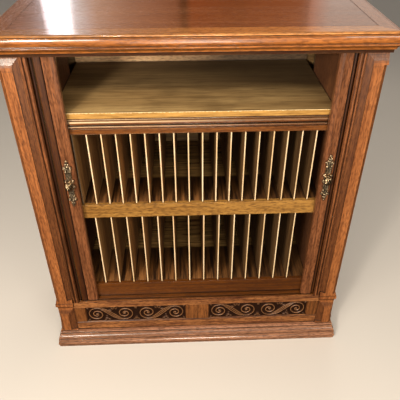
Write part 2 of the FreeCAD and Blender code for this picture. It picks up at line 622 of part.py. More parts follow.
# Doors
door_face = CANVAS_Y - SLAT_T
for name, sign, edge_x in (("left", -1, LEFT_EDGE), ("right", 1, RIGHT_EDGE)):
    save(name + "_lead_stile", side(lead_stile(edge_x), sign))
    hx = edge_x + LEAD_W / 2 + 3.0
    save(name + "_handle_plate", side(handle_plate(hx, door_face), sign))
    save(name + "_handle_knob", side(twisted_knob(hx, door_face), sign))

print("left travel %.1f mm, right travel %.1f mm" % (LEFT_TRAVEL, RIGHT_TRAVEL))
print("slots: %d upper at %.2f mm, %d lower" % (UPPER_SLOTS, upper_pitch, LOWER_COUNT + 1))
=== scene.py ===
# %% [markdown]
# Tambour door cabinet, dressed for the camera.
#
# The cabinet's construction comes packed as a fixed frame: every board, slat and
# moulding is already at its real size and place, in metres, with +Z up and the front
# looking along -Y. This script gives each of them its finish, and remakes the few pieces
# whose charm is in fine surface work: the two carved plinth panels and the two cast
# handles.
#
# The cells below can be run one after another as a lesson. Each new surface is a
# formula on a grid of two parameters, worked out with numpy as whole arrays.

# %% Load the frame
import math
import bpy
import numpy as np
from mathutils import Matrix, Vector


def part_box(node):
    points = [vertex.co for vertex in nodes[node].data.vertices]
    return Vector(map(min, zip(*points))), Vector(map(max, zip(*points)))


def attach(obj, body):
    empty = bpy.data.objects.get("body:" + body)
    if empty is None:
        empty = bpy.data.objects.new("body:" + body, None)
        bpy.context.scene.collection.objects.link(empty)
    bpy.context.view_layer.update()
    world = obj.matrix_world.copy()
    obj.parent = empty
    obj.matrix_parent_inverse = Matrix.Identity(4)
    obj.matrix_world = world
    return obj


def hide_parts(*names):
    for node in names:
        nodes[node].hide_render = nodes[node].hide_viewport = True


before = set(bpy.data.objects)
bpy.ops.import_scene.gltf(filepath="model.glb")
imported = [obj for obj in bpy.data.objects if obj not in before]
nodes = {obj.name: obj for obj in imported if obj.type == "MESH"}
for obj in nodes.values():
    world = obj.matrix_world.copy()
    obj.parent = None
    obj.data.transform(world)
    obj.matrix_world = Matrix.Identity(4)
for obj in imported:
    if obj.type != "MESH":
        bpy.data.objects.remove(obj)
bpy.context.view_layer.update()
MM = 0.001

# %% [markdown]
# The photograph was taken from standing height, a little left of the middle, looking down
# at the open cabinet. The camera's height, tilt and lens were worked out from the
# cabinet's straight edges, so the render can be laid over the photograph. A camera can be
# aimed with a Track To constraint, but writing its three axes as a matrix keeps the small
# roll that a hand-held picture has.

# %% Camera at the photograph's viewpoint
IMAGE = 400.0                       # the photograph's frame, in pixels
FOCAL_PX = 488.645
PRINCIPAL = (203.244, 202.487)      # where the lens axis meets the picture, in pixels
SENSOR = 36.0
EYE = Vector((-0.0311, -1.4948, 1.6023))
YAW, PITCH, ROLL = 0.0419, -0.6317, 0.0014

forward = Vector((math.sin(YAW) * math.cos(PITCH), math.cos(YAW) * math.cos(PITCH), math.sin(PITCH)))
level = Vector((math.cos(YAW), -math.sin(YAW), 0.0))
upward = level.cross(forward)
right = math.cos(ROLL) * level + math.sin(ROLL) * upward
up = math.cos(ROLL) * upward - math.sin(ROLL) * level

camera = bpy.data.objects.new("camera", bpy.data.cameras.new("camera"))
camera.data.sensor_width = SENSOR
camera.data.lens = FOCAL_PX * SENSOR / IMAGE
camera.data.shift_x = -(PRINCIPAL[0] - IMAGE / 2) / IMAGE
camera.data.shift_y = (PRINCIPAL[1] - IMAGE / 2) / IMAGE
camera.matrix_world = Matrix((
    (right.x, up.x, -forward.x, EYE.x),
    (right.y, up.y, -forward.y, EYE.y),
    (right.z, up.z, -forward.z, EYE.z),
    (0, 0, 0, 1)))
bpy.context.scene.collection.objects.link(camera)
bpy.context.scene.camera = camera
print("lens: %.1f mm" % camera.data.lens)

# %% [markdown]
# Node graphs get long when each node takes four lines. The first helper adds a node, fills
# its sockets from a dictionary and links any value that is itself a socket. The rest name
# the few steps that every finish here is made of, so a material reads from top to bottom
# like a recipe.

# %% A short way to write node graphs
def add(tree, kind, sockets=None, **settings):
    """Adds a node; a socket's value is either a plain value or another node's output."""
    node = tree.nodes.new("ShaderNode" + kind)
    for key, value in settings.items():
        setattr(node, key, value)
    for key, value in (sockets or {}).items():
        if isinstance(value, bpy.types.NodeSocket):
            tree.links.new(value, node.inputs[key])
        else:
            node.inputs[key].default_value = value
    return node


def linear(code):
    """A colour written as six hexadecimal digits, as the linear colour that nodes use."""
    values = np.array([int(code[i:i + 2], 16) for i in (0, 2, 4)]) / 255
    out = np.where(values <= 0.04045, values / 12.92, ((values + 0.055) / 1.055) ** 2.4)
    return (*out.tolist(), 1.0)


def maths(tree, operation, first, second=0.0):
    """One operation on one or two values."""
    return add(tree, "Math", {0: first, 1: second}, operation=operation).outputs[0]


def level_of(tree, value, low, high, out_low=0.0, out_high=1.0):
    """Maps a range of one value to another range, clamped."""
    return add(tree, "MapRange", {"Value": value, "From Min": low, "From Max": high,
                                  "To Min": out_low, "To Max": out_high}).outputs["Result"]


def mixed(tree, factor, first, second):
    """The first colour where the factor is 0, the second where it is 1."""
    return add(tree, "Mix", {0: factor, 6: first, 7: second}, data_type="RGBA").outputs[2]


def two_tones(tree, value, low, high, dark, light):
    """The dark tone where the value is at low, the light one where it is at high."""
    return mixed(tree, level_of(tree, value, low, high), linear(dark), linear(light))


def layered(tree, body, layers):
    """Lays tones over a body colour, one after another: each layer is a mask and a tone."""
    for mask, code in layers:
        body = mixed(tree, mask, body, linear(code))
    return body


def ramp(tree, value, stops):
    """A colour ramp through (position, colour) stops."""
    node = add(tree, "ValToRGB", {"Fac": value})
    while len(node.color_ramp.elements) < len(stops):
        node.color_ramp.elements.new(0.5)
    for element, (position, colour) in zip(node.color_ramp.elements, stops):
        element.position = position
        element.color = colour
    return node.outputs["Color"]


print("brown in linear light:", [round(v, 3) for v in linear("8e5728")])

# %% [markdown]
# A finish asks the surface a few questions: where on the object is this point, which way
# does it look, how deep does it lie in a corner? Object coordinates, the Geometry node and
# Ambient Occlusion answer them the same way wherever the camera is, so a pattern never
# slides when the view turns.

# %% What a finish can ask of the surface
AO_SAMPLES = 8


def place_of(tree):
    """The point's place on the object, in metres."""
    return add(tree, "TexCoord").outputs["Object"]


def normal_of(tree):
    """The way that the surface looks, as a direction of length 1."""
    return add(tree, "NewGeometry").outputs["Normal"]


def axis_of(tree, vector, axis):
    """One part of a direction or a place: its X, Y or Z."""
    return add(tree, "SeparateXYZ", {0: vector}).outputs[axis]


def openness(tree, reach, **settings):
    """1 on an open face, and lower the more there is in the way within this reach, in metres."""
    return add(tree, "AmbientOcclusion", {"Distance": reach}, samples=AO_SAMPLES, **settings).outputs["AO"]


def noise(tree, space, scale, detail, roughness=0.5):
    """Smooth random values about 0.5; a higher scale makes smaller marks."""
    return add(tree, "TexNoise", {"Vector": space, "Scale": scale, "Detail": detail,
                                  "Roughness": roughness}).outputs["Fac"]


def bumps(tree, height, strength, depth):
    """Relief too fine to model: it only bends the light."""
    return add(tree, "Bump", {"Height": height, "Strength": strength, "Distance": depth}).outputs[0]


def facing_front(tree):
    """1 on faces that look towards the front of the cabinet, 0 elsewhere."""
    return level_of(tree, axis_of(tree, normal_of(tree), "Y"), -0.9, -0.6, 1.0, 0.0)


def new_material(name):
    """An empty material and its node tree."""
    material = bpy.data.materials.new(name)
    material.use_nodes = True
    material.node_tree.nodes.clear()
    return material, material.node_tree


def surface(tree, sockets):
    """Ends a material with one Principled shader that has these sockets."""
    shader = add(tree, "BsdfPrincipled", sockets)
    add(tree, "OutputMaterial", {"Surface": shader.outputs[0]})


def paint(name, material):
    """Gives a board of the frame its only material."""
    data = nodes[name].data
    data.materials.clear()
    data.materials.append(material)


print("occlusion rays per point:", AO_SAMPLES)

# %% [markdown]
# Wood grain is noise seen in squeezed coordinates. Scaled down along the grain, the noise
# changes slowly that way and quickly across, which draws every mark out into a streak. A
# little more noise added to the coordinates bends the streaks, because no tree grows
# straight. Image textures would show real wood, but noise needs no file and never repeats.

# %% Grain
STRETCH = 0.045                     # coordinates along the grain are scaled by this
BEND_SCALE = 9.0
BEND = 0.02                         # how far the grain wanders, in the squeezed coordinates


def grain_space(tree, grain, shift=(0.0, 0.0, 0.0), stretch=STRETCH):
    """Object coordinates, squeezed along the grain axis and gently bent."""
    scale = [1.0, 1.0, 1.0]
    scale["XYZ".index(grain)] = stretch
    moved = add(tree, "Mapping", {"Vector": place_of(tree), "Location": shift, "Scale": scale}).outputs[0]
    bend = add(tree, "TexNoise", {"Vector": moved, "Scale": BEND_SCALE, "Detail": 2.0}).outputs["Color"]
    centred = add(tree, "VectorMath", {0: bend, 1: (0.5, 0.5, 0.5)}, operation="SUBTRACT").outputs[0]
    small = add(tree, "VectorMath", {0: centred, 3: BEND}, operation="SCALE").outputs[0]
    return add(tree, "VectorMath", {0: moved, 1: small}, operation="ADD").outputs[0]


print("a mark is %.0f times as long as it is wide" % (1 / STRETCH))

# %% [markdown]
# Varnished walnut has four things that a flat brown lacks: broad light and dark figure,
# narrow streaks that run with the grain, short dark pores, and a varnish that is
# smoother between the pores than in them. Corners are darker, as old polish's soil and as
# painted shade in one, and edges are worn pale in patches, which the Ambient Occlusion node
# finds from the shape itself: seen from outside it finds corners, and seen from inside the
# wood it finds edges. On the shelf's rail the pale edges are a painted highlight as well.
# Chamfers and other slanted faces get painted shade, and a bead's upper side a painted
# highlight. Each of these is a mask and a tone, laid over the wood in turn.

# %% Masks on wood
def slant_shade_mask(tree, tilt, most):
    """Painted shade on faces turned off square: the most at the first value of tilt, none at the second.

    A face is as square as the largest part of its normal. One that looks outwards, away from the
    cabinet's middle, gets less painted shade.
    """
    normal = normal_of(tree)
    parts = add(tree, "VectorMath", {0: normal}, operation="ABSOLUTE").outputs[0]
    wider = maths(tree, "MAXIMUM", axis_of(tree, parts, "X"), axis_of(tree, parts, "Y"))
    square = maths(tree, "MAXIMUM", wider, axis_of(tree, parts, "Z"))
    outward = maths(tree, "MULTIPLY", axis_of(tree, place_of(tree), "X"), axis_of(tree, normal, "X"))
    return maths(tree, "MULTIPLY", level_of(tree, square, *tilt, most, 0.0),
                 level_of(tree, outward, 0.0, 0.08, 1.0, 0.35))


def painted_crest_highlight_mask(tree, most):
    """Painted highlight on a bead's upper side, not its flat top: most on the left, a fifth of that on the
    right.
    """
    rise = axis_of(tree, normal_of(tree), "Z")
    rolled = maths(tree, "MULTIPLY", level_of(tree, rise, 0.30, 0.50),
                   level_of(tree, rise, 0.85, 0.95, 1.0, 0.0))
    across = axis_of(tree, place_of(tree), "X")
    return maths(tree, "MULTIPLY", rolled, level_of(tree, across, -0.25, 0.15, most, most * 0.2))


def painted_shade_ramp_mask(tree, start, end, most):
    """Painted shade along x: nothing where x is at start, the most where x is at end."""
    return level_of(tree, axis_of(tree, place_of(tree), "X"), start, end, 0.0, most)


def grime_and_shade_mask(tree, most, reach=0.006):
    """Corners and narrow hollows, found as places with much in the way of the light: soil and painted shade
    in one.
    """
    return level_of(tree, openness(tree, reach), 0.45, 0.97, most, 0.0)


def rub_and_highlight_mask(tree, patch, most, reach=0.0024):
    """Edges, found as places with little wood around them, in some patches: worn polish, on the rail also a
    painted highlight.
    """
    arris = openness(tree, reach, only_local=True, inside=True)
    return maths(tree, "MULTIPLY", level_of(tree, arris, 0.30, 0.75, most, 0.0),
                 level_of(tree, patch, 0.4, 0.6))


print("masks: slant, crest, fade, grime, rub")

# %% [markdown]
# One function then makes every wood of the cabinet. Its tones come first, and the rest are
# settings with a plain default, so that a finish names only what is special about it. A
# later layer lies over the earlier ones, so the darker corners cover the pores, and the pale
# edges come last.

# %% Wood as a function of grain direction and tone
FIGURE_SHARE, STREAK_SHARE = 0.4, 0.6
TONE_SPREAD = 0.13                  # how far from 0.5 the noise is all light or all dark
STREAK_SCALE, FLECK_SCALE, PORE_SCALE, PATCH_SCALE = 150.0, 260.0, 620.0, 40.0
FLECK_STRETCH, PORE_STRETCH = 0.22, 0.07
FLECK_MOST = 0.45
FLECK_TONE, SLANT_SHADE_TONE, SHADE_TONE, PORE_TONE, GRIME_AND_SHADE_TONE = "3a1808", "220c04", "140803", "1a0a04", "0d0502"
RUBBED_TONE = "d08a50"
VARNISH_IOR = 1.48
PORE_DEPTH = 0.00012


def wood(name, grain, light, dark, rough=0.36, coat=0.3, coat_rough=0.14, shine=0.5, pores=0.5, figure=16.0,
         contrast=1.0, shift=(0.0, 0.0, 0.0), dirt_and_shade=0.95, wear_and_highlight=0.35, wear_and_highlight_tone=RUBBED_TONE, slant_shade_share=0.5,
         tilt=(0.78, 0.985), painted_shade_ramp=None, painted_crest_highlight=0.0):
    """Polished wood: figure and streaks mix two tones, pores darken and roughen it.

    figure is the scale of the broad marks, and shift the place in the noise that a board is cut from.
    slant_shade_share is how much painted shade a slanted face gets, and tilt is the range of its normal
    where it does.
    painted_shade_ramp is (x where it starts, x where it ends, how dark it gets): painted shade along x.
    painted_crest_highlight is how much a bead's upper side gets a painted highlight, most of all on the
    left.
    dirt_and_shade darkens corners, soil and painted shade in one; wear_and_highlight pales edges in
    patches, as worn polish, and on the shelf's rail also as a painted highlight.
    """
    material, tree = new_material(name)
    space = grain_space(tree, grain, shift)
    broad = noise(tree, space, figure, 3.0)
    fine = noise(tree, space, STREAK_SCALE, 5.0, 0.7)
    patch = noise(tree, space, PATCH_SCALE, 1.0)
    fleck = noise(tree, grain_space(tree, grain, shift, FLECK_STRETCH), FLECK_SCALE, 4.0)
    speck = noise(tree, grain_space(tree, grain, shift, PORE_STRETCH), PORE_SCALE, 2.0)
    open_pore = maths(tree, "MULTIPLY", level_of(tree, speck, 0.54, 0.68),
                      level_of(tree, patch, 0.35, 0.65, 0.25, 1.0))

    tone = maths(tree, "ADD", maths(tree, "MULTIPLY", broad, FIGURE_SHARE),
                 maths(tree, "MULTIPLY", fine, STREAK_SHARE))
    spread = TONE_SPREAD / contrast
    layers = [(level_of(tree, fleck, 0.47, 0.62, 0.0, FLECK_MOST * contrast), FLECK_TONE),
              (slant_shade_mask(tree, tilt, slant_shade_share), SLANT_SHADE_TONE)]
    if painted_crest_highlight:
        layers.append((painted_crest_highlight_mask(tree, painted_crest_highlight), wear_and_highlight_tone))
    if painted_shade_ramp:
        layers.append((painted_shade_ramp_mask(tree, *painted_shade_ramp), SHADE_TONE))
    layers += [(maths(tree, "MULTIPLY", open_pore, pores), PORE_TONE),
               (grime_and_shade_mask(tree, dirt_and_shade), GRIME_AND_SHADE_TONE),
               (rub_and_highlight_mask(tree, patch, wear_and_highlight), wear_and_highlight_tone)]
    body = layered(tree, two_tones(tree, tone, 0.5 - spread, 0.5 + spread, dark, light), layers)

    uneven = maths(tree, "ADD", maths(tree, "MULTIPLY", open_pore, 0.5), broad)
    relief = maths(tree, "SUBTRACT", maths(tree, "MULTIPLY", fine, 0.25), open_pore)
    surface(tree, {"Base Color": body,
                   "Roughness": level_of(tree, uneven, 0.3, 1.0, rough - 0.05, rough + 0.22),
                   "Normal": bumps(tree, relief, 0.5, PORE_DEPTH),
                   "Coat Weight": coat, "Coat Roughness": coat_rough,
                   "IOR": VARNISH_IOR, "Specular IOR Level": shine})
    return material


print("pores are %.2f mm deep" % (PORE_DEPTH / MM))

# %% [markdown]
# One cabinet holds several woods. The case is red walnut under warm varnish, the top is
# the same wood polished like glass, the inside was hardly varnished, and the rail between
# the slots is golden oak. Grain runs along the length of each board, so a finish is made
# once for each direction that it is needed in. The top's long borders and the batten
# darken towards one end with painted shade, as the photograph shows them.

# %% The cabinet's finishes
POLISH = {"coat": 1.0, "coat_rough": 0.06}
UNVARNISHED = {"coat": 0.0, "pores": 0.4, "wear_and_highlight": 0.0}
FINISHES = {                        # name: (grain axis, light tone, dark tone, other settings)
    # the frieze: a darker copy of the case's walnut, painted shade under the top moulding
    "walnut_frieze_painted_shade": ("X", "452c18", "2b1a18", {"rough": 0.6, "coat": 0.0, "shine": 0.08}),
    # the shelf's rail: its pale edges and bead tops are painted highlights as well as worn polish
    "walnut_rail": ("X", "8e5728", "472512", {"rough": 0.24, "coat": 1.0, "coat_rough": 0.04, "wear_and_highlight": 0.9,
                                              "wear_and_highlight_tone": "ffe0b0", "slant_shade_share": 0.25, "painted_crest_highlight": 0.55}),
    "walnut_track": ("X", "7e4913", "3d1e06", {}),
    "walnut_seat": ("Z", "945b2e", "482c18", {"rough": 0.5, "coat": 0.0, "shine": 0.2}),
    "walnut_plinth": ("X", "bc7e49", "603824", {"rough": 0.42, "coat": 0.0, "shine": 0.25, "contrast": 1.5,
                                                "shift": (0.4, 0.1, 0.6)}),
    "walnut_upright": ("Z", "b4703d", "6a3b1f", {"slant_shade_share": 0.6, "tilt": (0.955, 0.99)}),
    "walnut_deep": ("Y", "b4703d", "6a3b1f", {}),
    "stile_walnut": ("Z", "9f643e", "57341e", {"rough": 0.3, "coat": 0.5, "contrast": 1.2,
                                               "shift": (0.31, 0.2, 0.1)}),
    "bead_walnut": ("Z", "a3643a", "492c18", {"rough": 0.34, "slant_shade_share": 0.7, "shift": (0.7, 0.4, 0.0)}),
    "slat_walnut": ("Z", "592f05", "2c1305", {"rough": 0.45, "coat": 0.0, "contrast": 1.4, "dirt_and_shade": 1.0,
                                              "shift": (0.2, 0.9, 0.3)}),
    "top_polish": ("X", "98623a", "6e4020", {"rough": 0.2, "coat": 1.0, "coat_rough": 0.03, "pores": 0.3,
                                             "dirt_and_shade": 0.0, "wear_and_highlight": 0.0, "shift": (0.0, 0.6, 0.2)}),
    # the long borders get painted shade towards their left end
    "border_along": ("X", "e09852", "b87a42", POLISH | {"rough": 0.24, "painted_shade_ramp": (0.05, -0.25, 0.45)}),
    "border_deep": ("Y", "b07448", "865430", POLISH | {"rough": 0.24}),
    "moulding": ("X", "c07536", "724119", POLISH | {"rough": 0.22, "slant_shade_share": 0.4}),
    "moulding_deep": ("Y", "c07536", "724119", POLISH | {"rough": 0.22, "slant_shade_share": 0.4}),
    # the base moulding: its pinkish tone is partly a painted sheen
    "base_moulding_painted_sheen": ("X", "c38b69", "744f37", {"rough": 0.28, "coat": 0.8, "slant_shade_share": 0.45,
                                                "contrast": 1.3}),
    "dark_inside": ("X", "6e4828", "472a16", UNVARNISHED | {"rough": 0.6}),
    "dark_upright": ("Z", "7c4f2e", "502f1c", UNVARNISHED | {"rough": 0.55}),
    "dark_rail": ("X", "6d3c0b", "3a1e0b", {"rough": 0.4, "wear_and_highlight": 0.1}),
    "golden_oak": ("X", "b48541", "7f5727", {"rough": 0.35, "pores": 0.6, "wear_and_highlight": 0.2, "contrast": 1.2}),
    # the batten: its pale tone is partly painted light, with painted shade towards its right end
    "batten_painted_light": ("X", "f4cc9a", "cc9c6a", {"rough": 0.6, "coat": 0.0, "wear_and_highlight": 0.0, "figure": 10.0,
                                              "painted_shade_ramp": (-0.16, 0.12, 0.84)}),
}
finish = {}
for wood_name, (grain, light, dark, settings) in FINISHES.items():
    finish[wood_name] = wood(wood_name, grain, light, dark, **settings)
print("finishes:", len(finish))

# %% [markdown]
# The frame's boards keep their shapes, so all that they need is a material in their slot.
# A list of boards under each finish says at a glance which pieces a joiner would have
# stained together.

# %% Give each board its wood
BOARDS = {
    "walnut_frieze_painted_shade": ["frieze"],
    "walnut_rail": ["shelf_front_rail"],
    "walnut_track": ["bottom_track"],
    "walnut_seat": ["plinth_stiles"],
    "walnut_plinth": ["plinth_top_rail", "plinth_bottom_rail"],
    "walnut_upright": ["front_left_post", "front_right_post", "front_left_block", "front_right_block",
                       "back_posts", "back_blocks", "left_side_panels", "right_side_panels",
                       "left_side_frame", "right_side_frame"],
    "walnut_deep": ["plinth_sides"],
    "stile_walnut": ["left_lead_stile", "right_lead_stile"],
    "bead_walnut": ["left_bead_stile", "right_bead_stile"],
    "slat_walnut": ["turn_slats", "left_curtain_slats", "right_curtain_slats", "left_front_slat"],
    "top_polish": ["top_panel"],
    "border_along": ["top_front_border", "top_back_border"],
    "border_deep": ["top_left_border", "top_right_border"],
    "moulding": ["top_front_moulding"],
    "base_moulding_painted_sheen": ["base_front_moulding"],
    "moulding_deep": ["top_left_moulding", "top_right_moulding", "base_side_mouldings"],
    "dark_inside": ["top_track", "under_top", "top_back_rail", "plinth_back"],
    "dark_upright": ["left_partition", "right_partition"],
    "dark_rail": ["bottom_rail"],
    "golden_oak": ["middle_rail"],
    "batten_painted_light": ["back_batten"],
}
for wood_name, boards in BOARDS.items():
    for board in boards:
        paint(board, finish[wood_name])
print("pieces of the frame given one wood:", sum(len(b) for b in BOARDS.values()))

# %% [markdown]
# Some pieces need more than one wood. The shelf is bare, stained boards with a sawn, golden
# front edge that has lost some chips of veneer. It could be cut into separate boards, but
# dividing its depth into equal strips and giving each a random tone looks the same from
# every side. Its far right corner is darker with painted shade, as in the photograph.

# %% The shelf
SHELF_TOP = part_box("shelf")[1].z
BOARDS_PER_METRE = 11.0             # of the shelf's depth
JOINT_SHARE = 0.03                  # of a board's width, for its dark joint
RAGGED = 0.006                      # how far the chipped line wanders, in metres
CHIP_LOW, CHIP_HIGH = 0.0012, 0.0018
SHADE_CORNER_SLOPE = 0.35                 # how much of x counts with the depth towards the corner with painted shade


def shelf_finish():
    """Strips in depth with painted shade towards the far right corner, and a golden edge on forward faces.
    """
    material, tree = new_material("shelf_bare")
    place = place_of(tree)
    depth = axis_of(tree, place, "Y")
    space = grain_space(tree, "X", stretch=0.08)
    broad = noise(tree, space, 26.0, 4.0)
    fine = noise(tree, space, 160.0, 4.0, 0.7)
    stain = noise(tree, place, 5.0, 3.0)
    strips = maths(tree, "MULTIPLY", depth, BOARDS_PER_METRE)
    number = maths(tree, "FLOOR", strips)
    joint = maths(tree, "FRACT", strips)
    each = add(tree, "TexWhiteNoise", {"W": number}, noise_dimensions="1D").outputs["Value"]
    far_right_painted_shade = maths(tree, "ADD", depth, maths(tree, "MULTIPLY", axis_of(tree, place, "X"), SHADE_CORNER_SLOPE))
    boards = layered(tree, two_tones(tree, broad, 0.35, 0.65, "957547", "cba970"),
                     [(level_of(tree, each, 0.0, 1.0, 0.0, 0.22), "c8a878"),
                      (level_of(tree, joint, 0.0, JOINT_SHARE, 0.6, 0.0), "2e2010"),
                      (level_of(tree, fine, 0.42, 0.7, 0.0, 0.5), "4f3a20"),
                      (level_of(tree, stain, 0.5, 0.68, 0.0, 0.45), "5a4324"),
                      # painted shade, deepest in the far right corner
                      (level_of(tree, far_right_painted_shade, -0.128, 0.154, 0.0, 0.80), "2a1c0c")])
    ragged = maths(tree, "MULTIPLY", noise(tree, place, 150.0, 3.0), RAGGED)
    chip_line = maths(tree, "ADD", axis_of(tree, place, "Z"), ragged)
    chips = level_of(tree, chip_line, SHELF_TOP + CHIP_LOW, SHELF_TOP + CHIP_HIGH)
    edge = layered(tree, two_tones(tree, fine, 0.35, 0.65, "8e6628", "c4944a"), [(chips, "ecd3a0")])
    surface(tree, {"Base Color": mixed(tree, facing_front(tree), boards, edge), "Roughness": 0.62,
                   "Normal": bumps(tree, fine, 0.4, 0.0002)})
    return material


paint("shelf", shelf_finish())
print("shelf's top at %.0f mm" % (SHELF_TOP / MM))

# %% [markdown]
# The dividers are thin plywood: their faces are dark, with painted shade that grows towards
# the right, and their front edges are pale, with a painted shadow at the far left. The
# Normal output of the Geometry node tells face from edge.

# %% The dividers
PAINTED_SHADOW_EDGE = (-0.360, -0.350)       # x up to which front edges carry a painted shadow, and from which they are clear of it


def divider_finish():
    """Grain that runs up, dark on the faces and pale on the front edges."""
    material, tree = new_material("divider_ply")
    space = grain_space(tree, "Z", stretch=0.06)
    across = axis_of(tree, place_of(tree), "X")
    fine = noise(tree, space, 110.0, 4.0, 0.65)
    broad = noise(tree, space, 14.0, 2.0)
    face = layered(tree, two_tones(tree, fine, 0.38, 0.62, "805a30", "c89a60"),
                   [(level_of(tree, broad, 0.4, 0.65, 0.0, 0.5), "4e341a"),
                    # painted shade on the faces, growing towards the right
                    (level_of(tree, across, -0.05, 0.30, 0.0, 0.6), "2a180a")])
    edge = layered(tree, two_tones(tree, fine, 0.3, 0.7, "d4ac74", "fae4c0"),
                   # painted shadow on the front edges at the far left
                   [(level_of(tree, across, *PAINTED_SHADOW_EDGE, 0.9, 0.0), "2a180a")])
    surface(tree, {"Base Color": mixed(tree, facing_front(tree), face, edge), "Roughness": 0.6})
    return material


ply = divider_finish()
divider_rows = ("upper_dividers", "lower_dividers")
for row in divider_rows:
    paint(row, ply)
print("plywood on:", ", ".join(divider_rows))

# %% [markdown]
# The boards under the slots are streaked from front to back near the front, as if by what
# slid in and out. Further in, the photograph shows crosswise streaks that are paler. A
# short step in depth chooses between the two, further back in the lower row.

# %% The slots' floors
FAR_START = {"middle_board": -0.033, "floor_board": 0.004}      # y where the crosswise streaks start
NEAR_SHADE = 0.14                   # how far before that the near streaks begin to darken with painted shade, in metres
STEP = 0.006


def slot_floor_finish(board, far_start):
    """Streaks along the depth up to far_start, and crosswise ones beyond it."""
    material, tree = new_material(board + "_streaks")
    place = place_of(tree)
    across = axis_of(tree, place, "X")
    depth = axis_of(tree, place, "Y")
    deep = noise(tree, grain_space(tree, "Y"), 90.0, 5.0, 0.7)
    cross = noise(tree, grain_space(tree, "X", (0.3, 0.1, 0.5), 0.06), 120.0, 5.0, 0.7)
    # the near streaks get painted shade towards the back of their zone
    near = layered(tree, two_tones(tree, deep, 0.40, 0.60, "28170b", "8e6034"),
                   [(level_of(tree, depth, far_start - NEAR_SHADE, far_start, 0.0, 0.7), "140a04")])
    far = two_tones(tree, cross, 0.38, 0.62, "4c3216", "d4a866")
    boards = layered(tree, mixed(tree, level_of(tree, depth, far_start, far_start + STEP), near, far),
                     # darker towards the right, and darker corners by the dividers, soil and painted shade
                     # in one
                     [(level_of(tree, across, 0.02, 0.16, 0.0, 0.5), "1a0d05"),
                      (level_of(tree, openness(tree, 0.02), 0.35, 0.9, 0.5, 0.0), GRIME_AND_SHADE_TONE)])
    surface(tree, {"Base Color": boards, "Roughness": 0.55})
    return material


for board, far_start in FAR_START.items():
    paint(board, slot_floor_finish(board, far_start))
print("slot floors:", ", ".join(FAR_START))

# %% [markdown]
# The back panel is stained and streaked crosswise inside, and bare outside, where its grain
# runs up. Inside and outside are told apart by the way that the face looks.

# %% The back panel
def back_finish():
    """Crosswise streaks on the face that looks forwards, upright grain elsewhere."""
    material, tree = new_material("back_boards")
    streaks = noise(tree, grain_space(tree, "X", stretch=0.06), 60.0, 5.0, 0.7)
    grain = noise(tree, grain_space(tree, "Z", stretch=0.06), 60.0, 4.0)
    inner = two_tones(tree, streaks, 0.36, 0.64, "45301a", "8c6c3e")
    outer = two_tones(tree, grain, 0.36, 0.64, "5d3d22", "8a6440")
    surface(tree, {"Base Color": mixed(tree, facing_front(tree), outer, inner), "Roughness": 0.62})
    return material


paint("back_panel", back_finish())

# %% [markdown]
# The curtain's slats are glued to canvas. A plain weave is two sets of threads, one over the
# other: a wave up the cloth times a wave along it makes the small squares. The canvas lies
# along X at the front and along Y at the side, so the second wave runs diagonally, which
# crosses both.

# %% Canvas
THREADS = 260.0                     # scale of both waves


def canvas_finish():
    """Two waves multiplied, for the colour and for the relief."""
    material, tree = new_material("canvas_weave")
    waves = {"Vector": place_of(tree), "Scale": THREADS}
    rising = add(tree, "TexWave", waves, bands_direction="Z").outputs["Fac"]
    crossing = add(tree, "TexWave", waves, bands_direction="DIAGONAL").outputs["Fac"]
    weave = maths(tree, "MULTIPLY", rising, crossing)
    surface(tree, {"Base Color": mixed(tree, weave, linear("5c4a30"), linear("94805a")), "Roughness": 0.85,
                   "Normal": bumps(tree, weave, 0.6, 0.0003)})
    return material


canvas = canvas_finish()
canvas_names = [name for name in nodes if name.endswith("canvas")]
for name in canvas_names:
    paint(name, canvas)
print("canvas on:", ", ".join(canvas_names))

# %% [markdown]
# No real edge is perfectly sharp: a plane or a hundred years of hands rounds it by a
# fraction of a millimetre, and that sliver of round is what catches the light. A Bevel
# modifier does it without touching the frame's own mesh. The frame's triangles come
# unjoined, so a Weld modifier joins them first.

# %% Round the boards' edges
EDGE = 0.0008
EDGE_STEPS = 2
SHARP = math.radians(28)            # edges that turn by less than this stay as they are
SAME_POINT = 1e-6


def soften(piece):
    """Joins a board's loose triangles, and rounds every edge that turns by more than SHARP."""
    weld = piece.modifiers.new("join", "WELD")
    weld.merge_threshold = SAME_POINT
    bevel = piece.modifiers.new("edge", "BEVEL")
    bevel.width = EDGE
    bevel.segments = EDGE_STEPS
    bevel.limit_method = "ANGLE"
    bevel.angle_limit = SHARP
    bevel.harden_normals = True


for name in nodes:
    if name not in canvas_names:
        soften(nodes[name])
print("edges rounded by %.1f mm on %d pieces" % (EDGE / MM, len(nodes) - len(canvas_names)))

# %% [markdown]
# Surfaces are made on grids. A grid of points becomes a mesh by joining each point to its
# neighbours; a grid that closes on itself, like a tube, also joins its last column to its
# first. Numpy does this for all faces at once.

# %% Grids to meshes
def grid_faces(rows, columns, wrap=False):
    """Quads between neighbouring points of a rows by columns grid, counted row by row."""
    r = np.arange(rows - 1)[:, None] * columns
    c = np.arange(columns if wrap else columns - 1)[None, :]
    after = (c + 1) % columns
    quads = np.stack([r + c, r + after, r + columns + after, r + columns + c], -1)
    return quads.reshape(-1, 4)


def capped_tube(rows, around):
    """Faces of a closed tube: a grid that wraps round, and one face over each end."""
    ring = np.arange(around)
    return [*grid_faces(rows, around, wrap=True), ring[::-1], ring + (rows - 1) * around]


